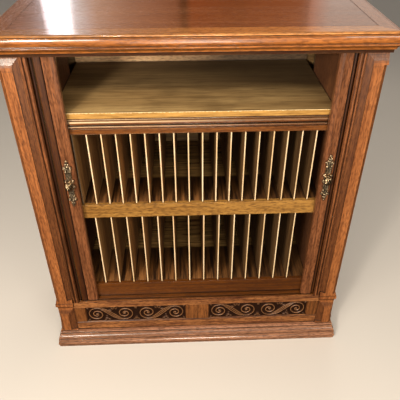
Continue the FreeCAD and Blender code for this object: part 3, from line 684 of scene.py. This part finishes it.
def make_piece(name, parts, material):
    """One mesh object from several (points, faces) parts; faces are rows of point numbers."""
    points, faces, start = [], [], 0
    for part_points, part_faces in parts:
        flat = np.asarray(part_points, float).reshape(-1, 3)
        points.append(flat)
        faces.extend((np.asarray(f) + start).tolist() for f in part_faces)
        start += len(flat)
    mesh = bpy.data.meshes.new(name)
    mesh.from_pydata(np.concatenate(points).tolist(), [], faces)
    mesh.polygons.foreach_set("use_smooth", np.ones(len(mesh.polygons), bool))
    mesh.materials.append(material)
    mesh.update()
    piece = bpy.data.objects.new(name, mesh)
    bpy.context.scene.collection.objects.link(piece)
    return piece


print("faces of a 3 by 4 grid:", len(grid_faces(3, 4)), "and of the same closed to a tube:",
      len(capped_tube(3, 4)))

# %% [markdown]
# Each plinth panel carries two S-scrolls that mirror each other: a volute at the panel's
# end, a stem that sweeps down, and a second volute beside the panel's middle. The whole
# scroll is one line with a width that changes along it. A volute is a circle whose radius
# shrinks as it turns, and the stem is the curve that leaves the first volute and meets the
# second with set slopes, so the ribbon has no kink.

# %% The scroll's line
PANEL_LOW, PANEL_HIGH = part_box("right_carved_panel")
PANEL_W = PANEL_HIGH.x - PANEL_LOW.x
PANEL_H = PANEL_HIGH.z - PANEL_LOW.z
OUTER_VOLUTE = (0.039, 0.038)       # centres, from the panel's end and its lower edge
INNER_VOLUTE = (0.145, 0.041)
OUTER_START, INNER_START = math.radians(62), math.radians(-118)
VOLUTE_RADIUS, EYE_LINE_RADIUS = 0.0345, 0.0045
VOLUTE_TURNS = 1.95
TIGHTENING = 1.15                   # above 1, the turns draw together towards the eye
VOLUTE_POINTS, STEM_POINTS = 110, 50
STEM_SLOPE = np.array([0.085, -0.045])
THIN, SWELL, SWELL_REACH = 0.0044, 0.0064, 0.044    # half width, and how it grows at the stem
TAPER = 0.05                        # twice the length over which the ribbon narrows to half at an eye
REED_REACH, REED_FULL = 0.055, 1.5  # how far from the stem's middle three ridges still show


def volute(centre, start_angle):
    """A spiral that winds in: its angle grows evenly, and its radius falls to the eye's."""
    t = np.linspace(0, 1, VOLUTE_POINTS)
    angle = start_angle + 2 * math.pi * VOLUTE_TURNS * t
    radius = EYE_LINE_RADIUS + (VOLUTE_RADIUS - EYE_LINE_RADIUS) * (1 - t) ** TIGHTENING
    return np.stack([centre[0] + radius * np.cos(angle), centre[1] + radius * np.sin(angle)], 1)


def scroll():
    """One S-scroll from the end volute's eye to the middle volute's eye: points, half widths, reeding.

    The stem is a cubic through its two ends with a set slope at each. The ribbon is widest at the
    stem's middle and falls off as a bell curve, and the reeding fades the same way.
    """
    first = volute(OUTER_VOLUTE, OUTER_START)[::-1]
    last = volute(INNER_VOLUTE, INNER_START)
    t = np.linspace(0, 1, STEM_POINTS)[1:-1, None]
    a, b = first[-1], last[0]
    stem_line = ((2 * t**3 - 3 * t**2 + 1) * a + (t**3 - 2 * t**2 + t) * STEM_SLOPE
                 + (-2 * t**3 + 3 * t**2) * b + (t**3 - t**2) * STEM_SLOPE)
    line = np.concatenate([first, stem_line, last])
    walked = np.concatenate([[0], np.cumsum(np.linalg.norm(np.diff(line, axis=0), axis=1))])
    from_stem = np.abs(walked - walked[len(first) + len(stem_line) // 2])
    to_eye = np.minimum(walked, walked[-1] - walked)
    half = THIN + SWELL * np.exp(-(from_stem / SWELL_REACH) ** 2)
    half *= np.clip(0.5 + to_eye / TAPER, 0, 1)
    reeds = np.clip(np.exp(-(from_stem / REED_REACH) ** 2) * REED_FULL, 0, 1)
    return line, half, reeds


print("carved panel: %.0f x %.0f mm" % (PANEL_W / MM, PANEL_H / MM))

# %% [markdown]
# A carver lowers the ground, leaves the ribbon standing and then cuts ridges along it. A
# height map says the same thing: the height of a point depends on how far it is from the
# scroll's line, and where along the line. That distance is found for the whole panel at
# once, one stretch of the line after another, and the highest value wins. Small leaves
# fill the corners that the scrolls leave.

# %% The carved height
EYE_RADIUS = 0.0052
CREASE = 0.12                       # height of the creases between the ridges, of the ridges' own
SHARPNESS = 2.6                     # above 1, the ridges are narrower than the creases
LEAVES = [                          # place, angle, half length and half width
    ((0.0985, 0.0660), 2.30, 0.0105, 0.0042), ((0.1060, 0.0695), 1.70, 0.0085, 0.0040),
    ((0.0900, 0.0585), 2.80, 0.0100, 0.0040), ((0.1135, 0.0665), 1.05, 0.0090, 0.0038),
    ((0.0740, 0.0150), 0.10, 0.0090, 0.0042), ((0.0840, 0.0085), -0.35, 0.0100, 0.0040),
    ((0.0690, 0.0065), -0.10, 0.0075, 0.0036), ((0.1860, 0.0120), 1.57, 0.0110, 0.0045),
    ((0.1800, 0.0065), 0.70, 0.0080, 0.0036), ((0.1865, 0.0690), 1.57, 0.0080, 0.0040),
    ((0.0060, 0.0060), 0.78, 0.0075, 0.0040), ((0.0060, 0.0710), -0.78, 0.0075, 0.0040),
    ((0.0750, 0.0270), 0.50, 0.0055, 0.0034)]


def leaf(x, z, at, angle, length, width):
    """Height of a small carved leaf: an oval mound with a groove down its middle."""
    c, s = math.cos(angle), math.sin(angle)
    along = ((x - at[0]) * c + (z - at[1]) * s) / length
    across = (-(x - at[0]) * s + (z - at[1]) * c) / width
    mound = np.sqrt(np.clip(1 - along**2 - across**2, 0, 1))
    return mound * (0.62 + 0.3 * np.clip(np.abs(across) * 3, 0, 1))


def carve(x, z):
    """Height over the ground, from 0 to 1, for points of the panel's left half.

    u runs across the ribbon from -1 to 1. One ridge is half a wave of a cosine over it, and three
    ridges are three half waves of a sine, all taken upwards; the reeding says how much of each.
    A high power of u makes the ribbon's sides steep.
    """
    line, half, reeds = scroll()
    best = np.zeros(x.shape)
    for k in range(len(line) - 1):
        a, d = line[k], line[k + 1] - line[k]
        length = math.sqrt(d @ d)
        t = np.clip(((x - a[0]) * d[0] + (z - a[1]) * d[1]) / length**2, 0, 1)
        px, pz = x - a[0] - t * d[0], z - a[1] - t * d[1]
        u = np.clip((px * d[1] - pz * d[0]) / length / half[k], -1, 1)
        three = np.abs(np.sin(1.5 * math.pi * (u + 1)))
        one = np.cos(math.pi / 2 * u)
        ridge = reeds[k] * three + (1 - reeds[k]) * one
        crown = CREASE + (1 - CREASE) * ridge ** SHARPNESS
        inside = px**2 + pz**2 < half[k] ** 2
        best = np.where(inside, np.maximum(best, crown * (1 - np.abs(u) ** 10) ** 0.5), best)
    for eye in (OUTER_VOLUTE, INNER_VOLUTE):
        r = np.hypot(x - eye[0], z - eye[1]) / EYE_RADIUS
        best = np.maximum(best, np.sqrt(np.clip(1 - r**2, 0, 1)))
    for at, angle, length, width in LEAVES:
        best = np.maximum(best, leaf(x, z, at, angle, length, width))
    return best


print("leaves on each half panel:", len(LEAVES))

# %% [markdown]
# The carving is nearly black in its ground and paler on the ridges, a tone that follows
# the carved height. The mesh knows how high each of its points stands, so the height is
# stored as an attribute named relief, and a colour ramp reads it.

# %% Finish of the carving
def carved_finish():
    """Tone, roughness and shine that all follow the carved height."""
    material, tree = new_material("carved_wood")
    height = add(tree, "Attribute", attribute_name="relief").outputs["Fac"]
    mottle = noise(tree, place_of(tree), 180.0, 4.0)
    tones = ramp(tree, height, [(0.0, linear("201008")), (0.40, linear("2a160b")),
                                (0.70, linear("4a2f1b")), (0.96, linear("94663f"))])
    colour = layered(tree, tones, [(level_of(tree, mottle, 0.45, 0.7, 0.0, 0.4), "2a180a")])
    surface(tree, {"Base Color": colour, "Roughness": level_of(tree, height, 0.0, 1.0, 0.7, 0.34),
                   "Specular IOR Level": level_of(tree, height, 0.5, 1.0, 0.1, 0.8)})
    return material


carved_wood = carved_finish()
print("finish:", carved_wood.name)

# %% [markdown]
# A height map becomes a solid block in three parts: the carved front, a wall round its rim
# and a flat back. The panel's second half mirrors its first, so points right of the middle
# are folded back to the left before their height is asked for. The left panel is the right
# one with x turned round. That also turns its faces inside out, so their points are
# listed in the other order.

# %% Build the carved panels
RELIEF = 0.0062                     # from the ground to the top of the ribbon
GROUND_Y = PANEL_HIGH.y - 0.008     # front plane of the lowered ground
COLUMNS, ROWS = 620, 128
TOOLED = 0.06                       # how far the ground's gouge marks swing, as a share of RELIEF


def smooth(field):
    """Averages each grid point with its four neighbours, as sanding would."""
    padded = np.pad(field, 1, mode="edge")
    return (padded[1:-1, 1:-1] * 4 + padded[:-2, 1:-1] + padded[2:, 1:-1]
            + padded[1:-1, :-2] + padded[1:-1, 2:]) / 8


def carved_panel(name, side):
    """The panel's front as a height map; side is 1 for the right-hand panel and -1 for the left.

    The ground's gouge marks are two crossed sine waves, each bent by a slower one.
    """
    x, z = np.meshgrid(np.linspace(0, PANEL_W, COLUMNS), np.linspace(0, PANEL_H, ROWS))
    height = smooth(carve(np.minimum(x, PANEL_W - x), z))
    tooled = TOOLED * np.sin(x * 1900 + 3 * np.sin(z * 700)) * np.sin(z * 1700 + 2 * np.sin(x * 500))
    ground = np.clip(tooled * (1 - np.clip(height * 3, 0, 1)) + TOOLED, 0, 1)
    total = np.maximum(height, ground)
    front = np.stack([PANEL_LOW.x + x, GROUND_Y - RELIEF * total, PANEL_LOW.z + z], -1)
    rim = np.concatenate([front[0], front[1:-1, -1], front[-1, ::-1], front[-2:0:-1, 0]])
    rim_back = rim.copy()
    rim_back[:, 1] = PANEL_HIGH.y
    wall = np.stack([rim, rim_back])
    corners = np.array([front[0, 0], front[0, -1], front[-1, -1], front[-1, 0]])
    corners[:, 1] = PANEL_HIGH.y
    for points in (front, wall, corners):
        points[..., 0] *= side
    order = slice(None, None, side)
    faces = grid_faces(ROWS, COLUMNS)[:, order]
    wall_faces = grid_faces(2, len(rim), wrap=True)[:, ::-1][:, order]
    base = np.array([[3, 2, 1, 0]])[:, order]
    piece = make_piece(name, [(front, faces), (wall, wall_faces), (corners, base)], carved_wood)
    relief = np.concatenate([total.ravel(), np.zeros(wall.size // 3 + len(corners))])
    layer = piece.data.attributes.new("relief", "FLOAT", "POINT")
    layer.data.foreach_set("value", relief.astype(np.float32))
    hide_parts(name.replace("_relief", "_panel"))
    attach(piece, "case")
    return piece


carved = [carved_panel("right_carved_relief", 1), carved_panel("left_carved_relief", -1)]
print("carved faces:", [len(piece.data.polygons) for piece in carved])

# %% [markdown]
# The handles are cast brass that has darkened with age, bright only where hands have
# rubbed it. Both parts of a handle share one recipe with two pairs of tones: the knob's
# pair is a darker copy of the plate's, painted shade that dims the knob's highlights.
# Cloudy noise mixes the tones and the shine, and occlusion blackens the hollows, where no
# polish reaches.

# %% Aged brass
BLACKENED = "1a120a"


def brass_finish(name, dark, light):
    """Cloudy noise between two brass tones, blackened where the shape is hollow."""
    material, tree = new_material(name)
    place = place_of(tree)
    cloud = noise(tree, place, 380.0, 4.0)
    pits = noise(tree, place, 900.0, 2.0)
    hollows = level_of(tree, openness(tree, 0.004, only_local=True), 0.35, 0.85, 0.9, 0.0)
    colour = layered(tree, two_tones(tree, cloud, 0.40, 0.60, dark, light), [(hollows, BLACKENED)])
    surface(tree, {"Base Color": colour, "Metallic": 1.0, "Normal": bumps(tree, pits, 0.3, 0.0002),
                   "Roughness": level_of(tree, cloud, 0.3, 0.7, 0.24, 0.42)})
    return material


plate_brass = brass_finish("aged_brass", "6c5030", "ffe6c0")
# the knob's darker copy of the brass: painted shade
knob_shaded_copy_brass = brass_finish("knob_brass_painted_shade", "4c3a26", "dcc29a")
print("brasses:", plate_brass.name, knob_shaded_copy_brass.name)

# %% [markdown]
# Small castings are built from a few kinds of surface. A tube is a circle carried along a
# path. A turned shape is a row of circles on one axis, as from a lathe. The plate's curls
# are tubes on spirals, and its nail heads and the knob's neck are turned.

# %% Tubes and turned shapes
WIRE_RADIUS, WIRE_SWELL = 0.0011, 0.0006    # of a curl's wire, and how much it gains towards its middle
CURL_TURNS = 1.35
CURL_CLOSES = 0.82                  # share of a curl's radius that is gone at its middle
CURL_RISE = 0.0007
DOME_CLOSES = 0.97                  # how much of a quarter circle a nail head's side covers
NECK_LENGTH, NECK_RADIUS, NECK_WAVE = 0.012, 0.0046, 0.0022


def circle(points):
    """Angles of evenly spaced points round a circle."""
    return np.linspace(0, 2 * math.pi, points, endpoint=False)


def tube(path, radius, around=10):
    """A tube along a path: at each point a circle, square to the path. Both ends are closed."""
    ahead = np.gradient(path, axis=0)
    ahead /= np.linalg.norm(ahead, axis=1)[:, None]
    side_way = np.cross(ahead, (0.0, -1.0, 0.0))
    side_way /= np.linalg.norm(side_way, axis=1)[:, None]
    third = np.cross(side_way, ahead)
    a = circle(around)[None, :, None]
    ring = side_way[:, None, :] * np.cos(a) + third[:, None, :] * np.sin(a)
    return path[:, None, :] + ring * radius[:, None, None], capped_tube(len(path), around)


def turned(x, z, radius, depth, around):
    """Circles of the given radii, each at its depth on an axis that runs from front to back."""
    a = circle(around)
    r = radius[:, None]
    y = np.broadcast_to(depth[:, None], (len(depth), around))
    return np.stack([x + r * np.cos(a), y, z + r * np.sin(a)], -1), capped_tube(len(depth), around)


def curl(x, face, z, turn, size, flip, count=34):
    """A small spiral of round wire on the plate: its angle grows evenly while its radius shrinks evenly."""
    t = np.linspace(0, 1, count)
    angle = turn + flip * 2 * math.pi * CURL_TURNS * t
    r = size * (1 - CURL_CLOSES * t)
    path = np.stack([x + r * np.cos(angle), np.full(count, face) - CURL_RISE * t, z + r * np.sin(angle)], 1)
    return tube(path, WIRE_RADIUS + WIRE_SWELL * t)


def dome(x, face, z, radius, height, rows=7, around=18):
    """A round nail head: the radius falls as a cosine while the height grows as a sine."""
    t = np.linspace(0, 1, rows)
    r = radius * np.cos(t * math.pi / 2 * DOME_CLOSES)
    return turned(x, z, r, face - height * np.sin(t * math.pi / 2), around)


def neck(x, face, z, rows=24, around=24):
    """Turned neck between the plate and the head: its radius is one full cosine wave along it."""
    out = np.linspace(0, NECK_LENGTH, rows)
    r = NECK_RADIUS + NECK_WAVE * np.cos(out / NECK_LENGTH * 2 * math.pi)
    return turned(x, z, r, face - out, around)


print("points of a nail head:", dome(0, 0, 0, 0.003, 0.0016)[0].size // 3)

# %% [markdown]
# The back plate is a strip whose width changes along its height, so its outline is one
# function: a short table of half widths, the same above and below the middle, with
# straight lines between. Its front swells like a cushion with a low bead near the rim.

# %% The back plate
PLATE_HALF = [(0.8, 86), (3.2, 84), (4.6, 80.5), (3.6, 77), (5.8, 75), (6.6, 71), (4.8, 67.5), (7.5, 65),
              (11.6, 62), (14.0, 57.5), (12.6, 53.5), (9.0, 51), (10.8, 48), (11.2, 44), (9.6, 41),
              (10.4, 36), (10.8, 30), (10.2, 24), (9.4, 19), (11.5, 16), (14.6, 13), (15.2, 9), (12.5, 6),
              (11.6, 3)]            # half width and height of the outline's points, in millimetres
PLATE_REACH = 0.0859                # half of the plate's height
PLATE_THICK, PLATE_BEAD = 0.0026, 0.0008
NARROWEST = 0.0004
BEAD_AT, BEAD_HALF = 0.72, 0.14     # of the half width
SUNK = 0.0002                       # how far the plate's back goes into the wood


def plate_half_width(z):
    """Half width of the back plate at height z over its middle, in metres."""
    table = np.array(PLATE_HALF[::-1]) * MM
    return np.interp(np.abs(z), table[:, 1], table[:, 0])


def plate(x, face, z, rows=190, columns=15):
    """A strip that is as wide at each height as the outline says; across it runs u from -1 to 1.

    It stands off the wood by a high power of u, so it is flat and rolls down at the rim, and a bell
    curve near the rim adds the bead.
    """
    v = np.linspace(-PLATE_REACH, PLATE_REACH, rows)
    u = np.linspace(-1, 1, columns)
    u = np.sign(u) * np.abs(u) ** 0.7
    width = np.maximum(plate_half_width(v), NARROWEST)
    uu, vv = np.meshgrid(u, v)
    rise = (PLATE_THICK * (1 - np.abs(uu) ** 8) ** 0.5
            + PLATE_BEAD * np.exp(-((np.abs(uu) - BEAD_AT) / BEAD_HALF) ** 2))
    front = np.stack([x + uu * width[:, None], face - rise, z + vv], -1)
    back = np.stack([x + uu * width[:, None], np.full_like(uu, face + SUNK), z + vv], -1)
    return np.concatenate([front, back[:, ::-1]], axis=1), capped_tube(rows, 2 * columns)


print("plate: %.0f x %.0f mm" % (2 * max(w for w, _ in PLATE_HALF), 2 * PLATE_REACH / MM))

# %% [markdown]
# The knob's head is an upright oval wound like a rope. In a formula, that is an oval whose
# radius dips in grooves, and the angle of each groove moves on with the height.

# %% The twisted head
KNOB_WIDE, KNOB_DEEP, KNOB_HIGH = 0.0122, 0.0098, 0.0149    # half sizes
KNOB_OUT = 0.0180                   # from the wood to the head's middle
STRANDS = 7
TWIST = 0.85                        # how far a strand turns from the middle to an end, in radians
GROOVE = 0.42


def knob(x, face, z, rows=64, around=108):
    """An oval round an upright axis, less a groove between strands.

    A strand is a hump of a cosine of the angle, and the height added to the angle makes it wind.
    """
    tt, aa = np.meshgrid(np.linspace(-1, 1, rows), circle(around), indexing="ij")
    body = np.sqrt(np.clip(1 - np.abs(tt) ** 2.4, 0.0008, 1))
    ridge = np.abs(np.cos(STRANDS / 2 * (aa + TWIST * tt)))
    r = body * (1 - GROOVE * (1 - ridge**0.8) * np.clip(body * 1.6, 0, 1))
    points = np.stack([x + KNOB_WIDE * r * np.sin(aa), face - KNOB_OUT - KNOB_DEEP * r * np.cos(aa),
                       z + KNOB_HIGH * tt], -1)
    return points, capped_tube(rows, around)


print("knob: %.0f mm high" % (2 * KNOB_HIGH / MM))

# %% [markdown]
# Left and right handles are the same casting. Everything is placed from the middle of the
# frame's own plate, and the ornaments are repeated up and down, left and right of it. Each
# handle replaces its plain solids and rides on its door, so it slides with it.

# %% Build both handles
CURLS = [(0.0088, 0.0578, 0.0046), (0.0070, 0.0445, 0.0030), (0.0034, 0.0715, 0.0026),
         (0.0108, 0.0108, 0.0040)]  # beside the middle, over it, and the curl's radius
NAILS = [(0.0805, 0.0024, 0.0018), (0.0620, 0.0030, 0.0016)]    # over the middle, radius and rise
EYE_SHARE, EYE_RISE = 0.45, 0.0022  # nail head in a curl: its radius as a share of the curl's, and its rise
COLLAR_RADIUS, COLLAR_RISE = 0.0100, 0.0022


def hand_over(piece, node, body):
    """The piece stands for the frame's plain solid, in brass, and moves with its body."""
    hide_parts(node)
    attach(piece, body)


for side_name in ("left", "right"):
    low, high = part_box(side_name + "_handle_plate")
    x, z, face = (low.x + high.x) / 2, (low.z + high.z) / 2, high.y
    stand = face - PLATE_THICK
    parts = [plate(x, face, z)]
    for up_down in (-1, 1):
        for left_right in (-1, 1):
            for beside, over, size in CURLS:
                at = (x + left_right * beside, stand, z + up_down * over)
                parts.append(curl(*at, math.pi / 2 * up_down, size, -left_right * up_down))
                parts.append(dome(*at, size * EYE_SHARE, EYE_RISE))
        for over, radius, rise in NAILS:
            parts.append(dome(x, stand, z + up_down * over, radius, rise))
    backplate = make_piece(side_name + "_handle_backplate", parts, plate_brass)
    hand_over(backplate, side_name + "_handle_plate", side_name + "_door")
    head = [knob(x, face, z), neck(x, stand, z), dome(x, stand, z, COLLAR_RADIUS, COLLAR_RISE)]
    twisted = make_piece(side_name + "_twisted_knob", head, knob_shaded_copy_brass)
    hand_over(twisted, side_name + "_handle_knob", side_name + "_door")
    print(side_name, "handle:", len(backplate.data.polygons) + len(twisted.data.polygons), "faces")

# %% [markdown]
# The room starts with a plain pale floor. It receives the cabinet's shadow, but it neither
# shows in the varnish nor throws light back up, because a pale reflection from below would
# wash the cabinet's colours out.

# %% Floor
FLOOR_REACH = 9.0
floor_material, floor_tree = new_material("pale_floor")
surface(floor_tree, {"Base Color": linear("dedad4"), "Roughness": 0.7})
floor_corners = FLOOR_REACH * np.array([[-1, -1, 0], [1, -1, 0], [1, 1, 0], [-1, 1, 0]], float)
floor = make_piece("floor", [(floor_corners, [np.arange(4)])], floor_material)
floor.visible_glossy = False
floor.visible_diffuse = False
print("floor: %.0f m square" % (2 * FLOOR_REACH))

# %% [markdown]
# The polished top works like a mirror seen at a low angle, so what it shows matters as much
# as its own colour: a bright window on the left, a pale wall beside it that fades towards
# the middle, a dark gap, a dim stretch, and a paler one at the far right. The world could
# be a panorama picture, but here it is a brightness and a tint for each compass direction.
# They are named by the picture's column where the top mirrors them, and the camera's own
# geometry turns a column into a direction once, when the script runs. A Float Curve with
# straight pieces holds the brightness, and a colour ramp the tint.

# %% The room that the varnish mirrors
REFLECTED_ROW = 15.0                # picture row, on the top, where the columns are read off
SWEEP = 0.8                         # how far the mirrored wall reaches to each side, in radians
BRIGHTEST = 10.0                    # brightness that the curve's full height stands for
WINDOW = (47.0, 69.0)               # the window's first and last picture column
BANDS = [                           # picture column and brightness
    (-60.0, 0.20), (42.0, 0.28), (WINDOW[0], 5.0), (WINDOW[1], 5.0), (73.0, 1.05), (96.0, 0.80),
    (130.0, 0.50), (178.0, 0.30), (181.0, 0.0), (187.0, 0.0), (190.0, 0.34), (216.0, 0.26),
    (244.0, 0.22), (247.0, 0.28), (307.0, 0.36), (311.0, 0.8), (420.0, 0.7)]
TINTS = [                           # picture column and tint
    (-60.0, "ffb090"), (38.0, "ffc8b0"), (48.0, "f4f4ff"), (74.0, "fff6f2"), (96.0, "ffcbaa"),
    (178.0, "ff9c70"), (190.0, "ff7030"), (300.0, "ff8850"), (330.0, "ffe8d8")]


def along_wall(column):
    """Place on the mirrored wall, from 0 to 1, of what the top shows in a column of the picture.

    The mirror only turns a ray's height round, so its compass angle is the camera ray's own.
    """
    ray = (forward + (column - PRINCIPAL[0]) / FOCAL_PX * right
           - (REFLECTED_ROW - PRINCIPAL[1]) / FOCAL_PX * up)
    return (math.atan2(ray.x, ray.y) + SWEEP) / (2 * SWEEP)


def wall_brightness(tree, place):
    """A Float Curve through the bands, scaled up from its range of 0 to 1."""
    curve = add(tree, "FloatCurve", {"Value": place})
    line = curve.mapping.curves[0]
    line.points[0].location = (0.0, BANDS[0][1] / BRIGHTEST)
    line.points[1].location = (1.0, BANDS[-1][1] / BRIGHTEST)
    for column, value in BANDS[1:-1]:
        line.points.new(along_wall(column), value / BRIGHTEST)
    for point in line.points:
        point.handle_type = "VECTOR"
    curve.mapping.update()
    return maths(tree, "MULTIPLY", curve.outputs[0], BRIGHTEST)


print("the window lies from %.2f to %.2f along the wall" % (along_wall(WINDOW[0]), along_wall(WINDOW[1])))

# %% [markdown]
# The world gives each kind of ray its own answer, through the Light Path node. The camera
# sees an even pale backdrop. Mirror rays that leave at a low angle towards the back see
# the wall with its window. All other light is a weak, even glow, and weaker still from
# below, as over a dark floor.

# %% World
AMBIENT = 0.20
FROM_BELOW = 0.12                   # share of the ambient light that comes up from the floor
BACKDROP = 0.92
AMBIENT_TINT = "fff6ea"

world = bpy.data.worlds.new("studio")
bpy.context.scene.world = world
world.use_nodes = True
sky = world.node_tree
sky.nodes.clear()
direction = add(sky, "SeparateXYZ", {0: add(sky, "TexCoord").outputs["Generated"]}).outputs
azimuth = maths(sky, "ARCTAN2", direction["X"], direction["Y"])
wall_place = level_of(sky, azimuth, -SWEEP, SWEEP)
wall_tint = ramp(sky, wall_place, [(along_wall(column), linear(code)) for column, code in TINTS])
in_wall = maths(sky, "MULTIPLY", level_of(sky, direction["Z"], 0.10, 0.16),
                level_of(sky, direction["Z"], 0.36, 0.50, 1.0, 0.0))
in_wall = maths(sky, "MULTIPLY", in_wall, level_of(sky, direction["Y"], 0.3, 0.5))
ray_kind = add(sky, "LightPath").outputs
mirrored = add(sky, "Mix", {0: in_wall, 2: AMBIENT, 3: wall_brightness(sky, wall_place)}).outputs[0]
strength = add(sky, "Mix", {0: ray_kind["Is Glossy Ray"], 2: AMBIENT, 3: mirrored}).outputs[0]
strength = maths(sky, "MULTIPLY", strength, level_of(sky, direction["Z"], -0.10, 0.05, FROM_BELOW, 1.0))
strength = add(sky, "Mix", {0: ray_kind["Is Camera Ray"], 2: strength, 3: BACKDROP}).outputs[0]
in_mirror = maths(sky, "MULTIPLY", in_wall, ray_kind["Is Glossy Ray"])
background = add(sky, "Background", {"Color": mixed(sky, in_mirror, linear(AMBIENT_TINT), wall_tint),
                                     "Strength": strength})
add(sky, "OutputWorld", {"Surface": background.outputs[0]})
print("world nodes:", len(sky.nodes))

# %% [markdown]
# Area lamps shape the wood. A small one, in front on the left, throws the door stile's
# shadow across the shelf, and a long one beside it draws the highlights on the mouldings,
# as a window would. A weak one on the right opens the shadows, and a low one looks into the
# slots. A wide strip above lights all that faces up, and one high behind lifts the back
# edges. The last two don't show in the varnish, which has its window in the world. The
# larger a lamp is, the softer its shadows, so only the first is small.

# %% Lamps
LAMP_COLOUR = "fff1df"
LAMPS = [                           # name, place, height it aims at, size, watts, seen in the varnish
    ("key", (-1.10, -2.45, 1.92), 0.75, (0.30, 0.30), 42, True),
    ("window", (-1.30, -2.30, 1.95), 0.75, (1.5, 0.35), 26, True),
    ("second", (1.50, -2.25, 1.80), 0.75, (0.9, 0.5), 9, True),
    ("low", (0.1, -3.1, 0.95), 0.6, (0.7, 0.5), 42, True),
    ("ceiling", (-0.3, -1.9, 2.62), 0.8, (3.0, 0.28), 50, False),
    ("rim", (0.6, 2.2, 2.6), 0.8, (1.2, 1.2), 20, False),
]


def lamp(name, place, aim, size, watts, mirrored):
    """A rectangular area lamp that looks at a height on the cabinet's middle line."""
    data = bpy.data.lights.new(name, "AREA")
    data.shape = "RECTANGLE"
    data.size, data.size_y = size
    data.energy = watts
    data.color = linear(LAMP_COLOUR)[:3]
    thing = bpy.data.objects.new(name, data)
    thing.location = place
    thing.rotation_mode = "QUATERNION"
    thing.rotation_quaternion = (Vector((0.0, 0.0, aim)) - Vector(place)).to_track_quat("-Z", "Y")
    thing.visible_camera = False
    thing.visible_glossy = mirrored
    bpy.context.scene.collection.objects.link(thing)


for row in LAMPS:
    lamp(*row)
print("lamps:", len(LAMPS), "with", sum(row[4] for row in LAMPS), "watts together")

# %% [markdown]
# Blender's usual view transform softens bright colours as film does. Standard shows a
# colour as it is written, which is what a match with a photograph needs.

# %% Show colours as they are written
bpy.context.scene.view_settings.view_transform = "Standard"
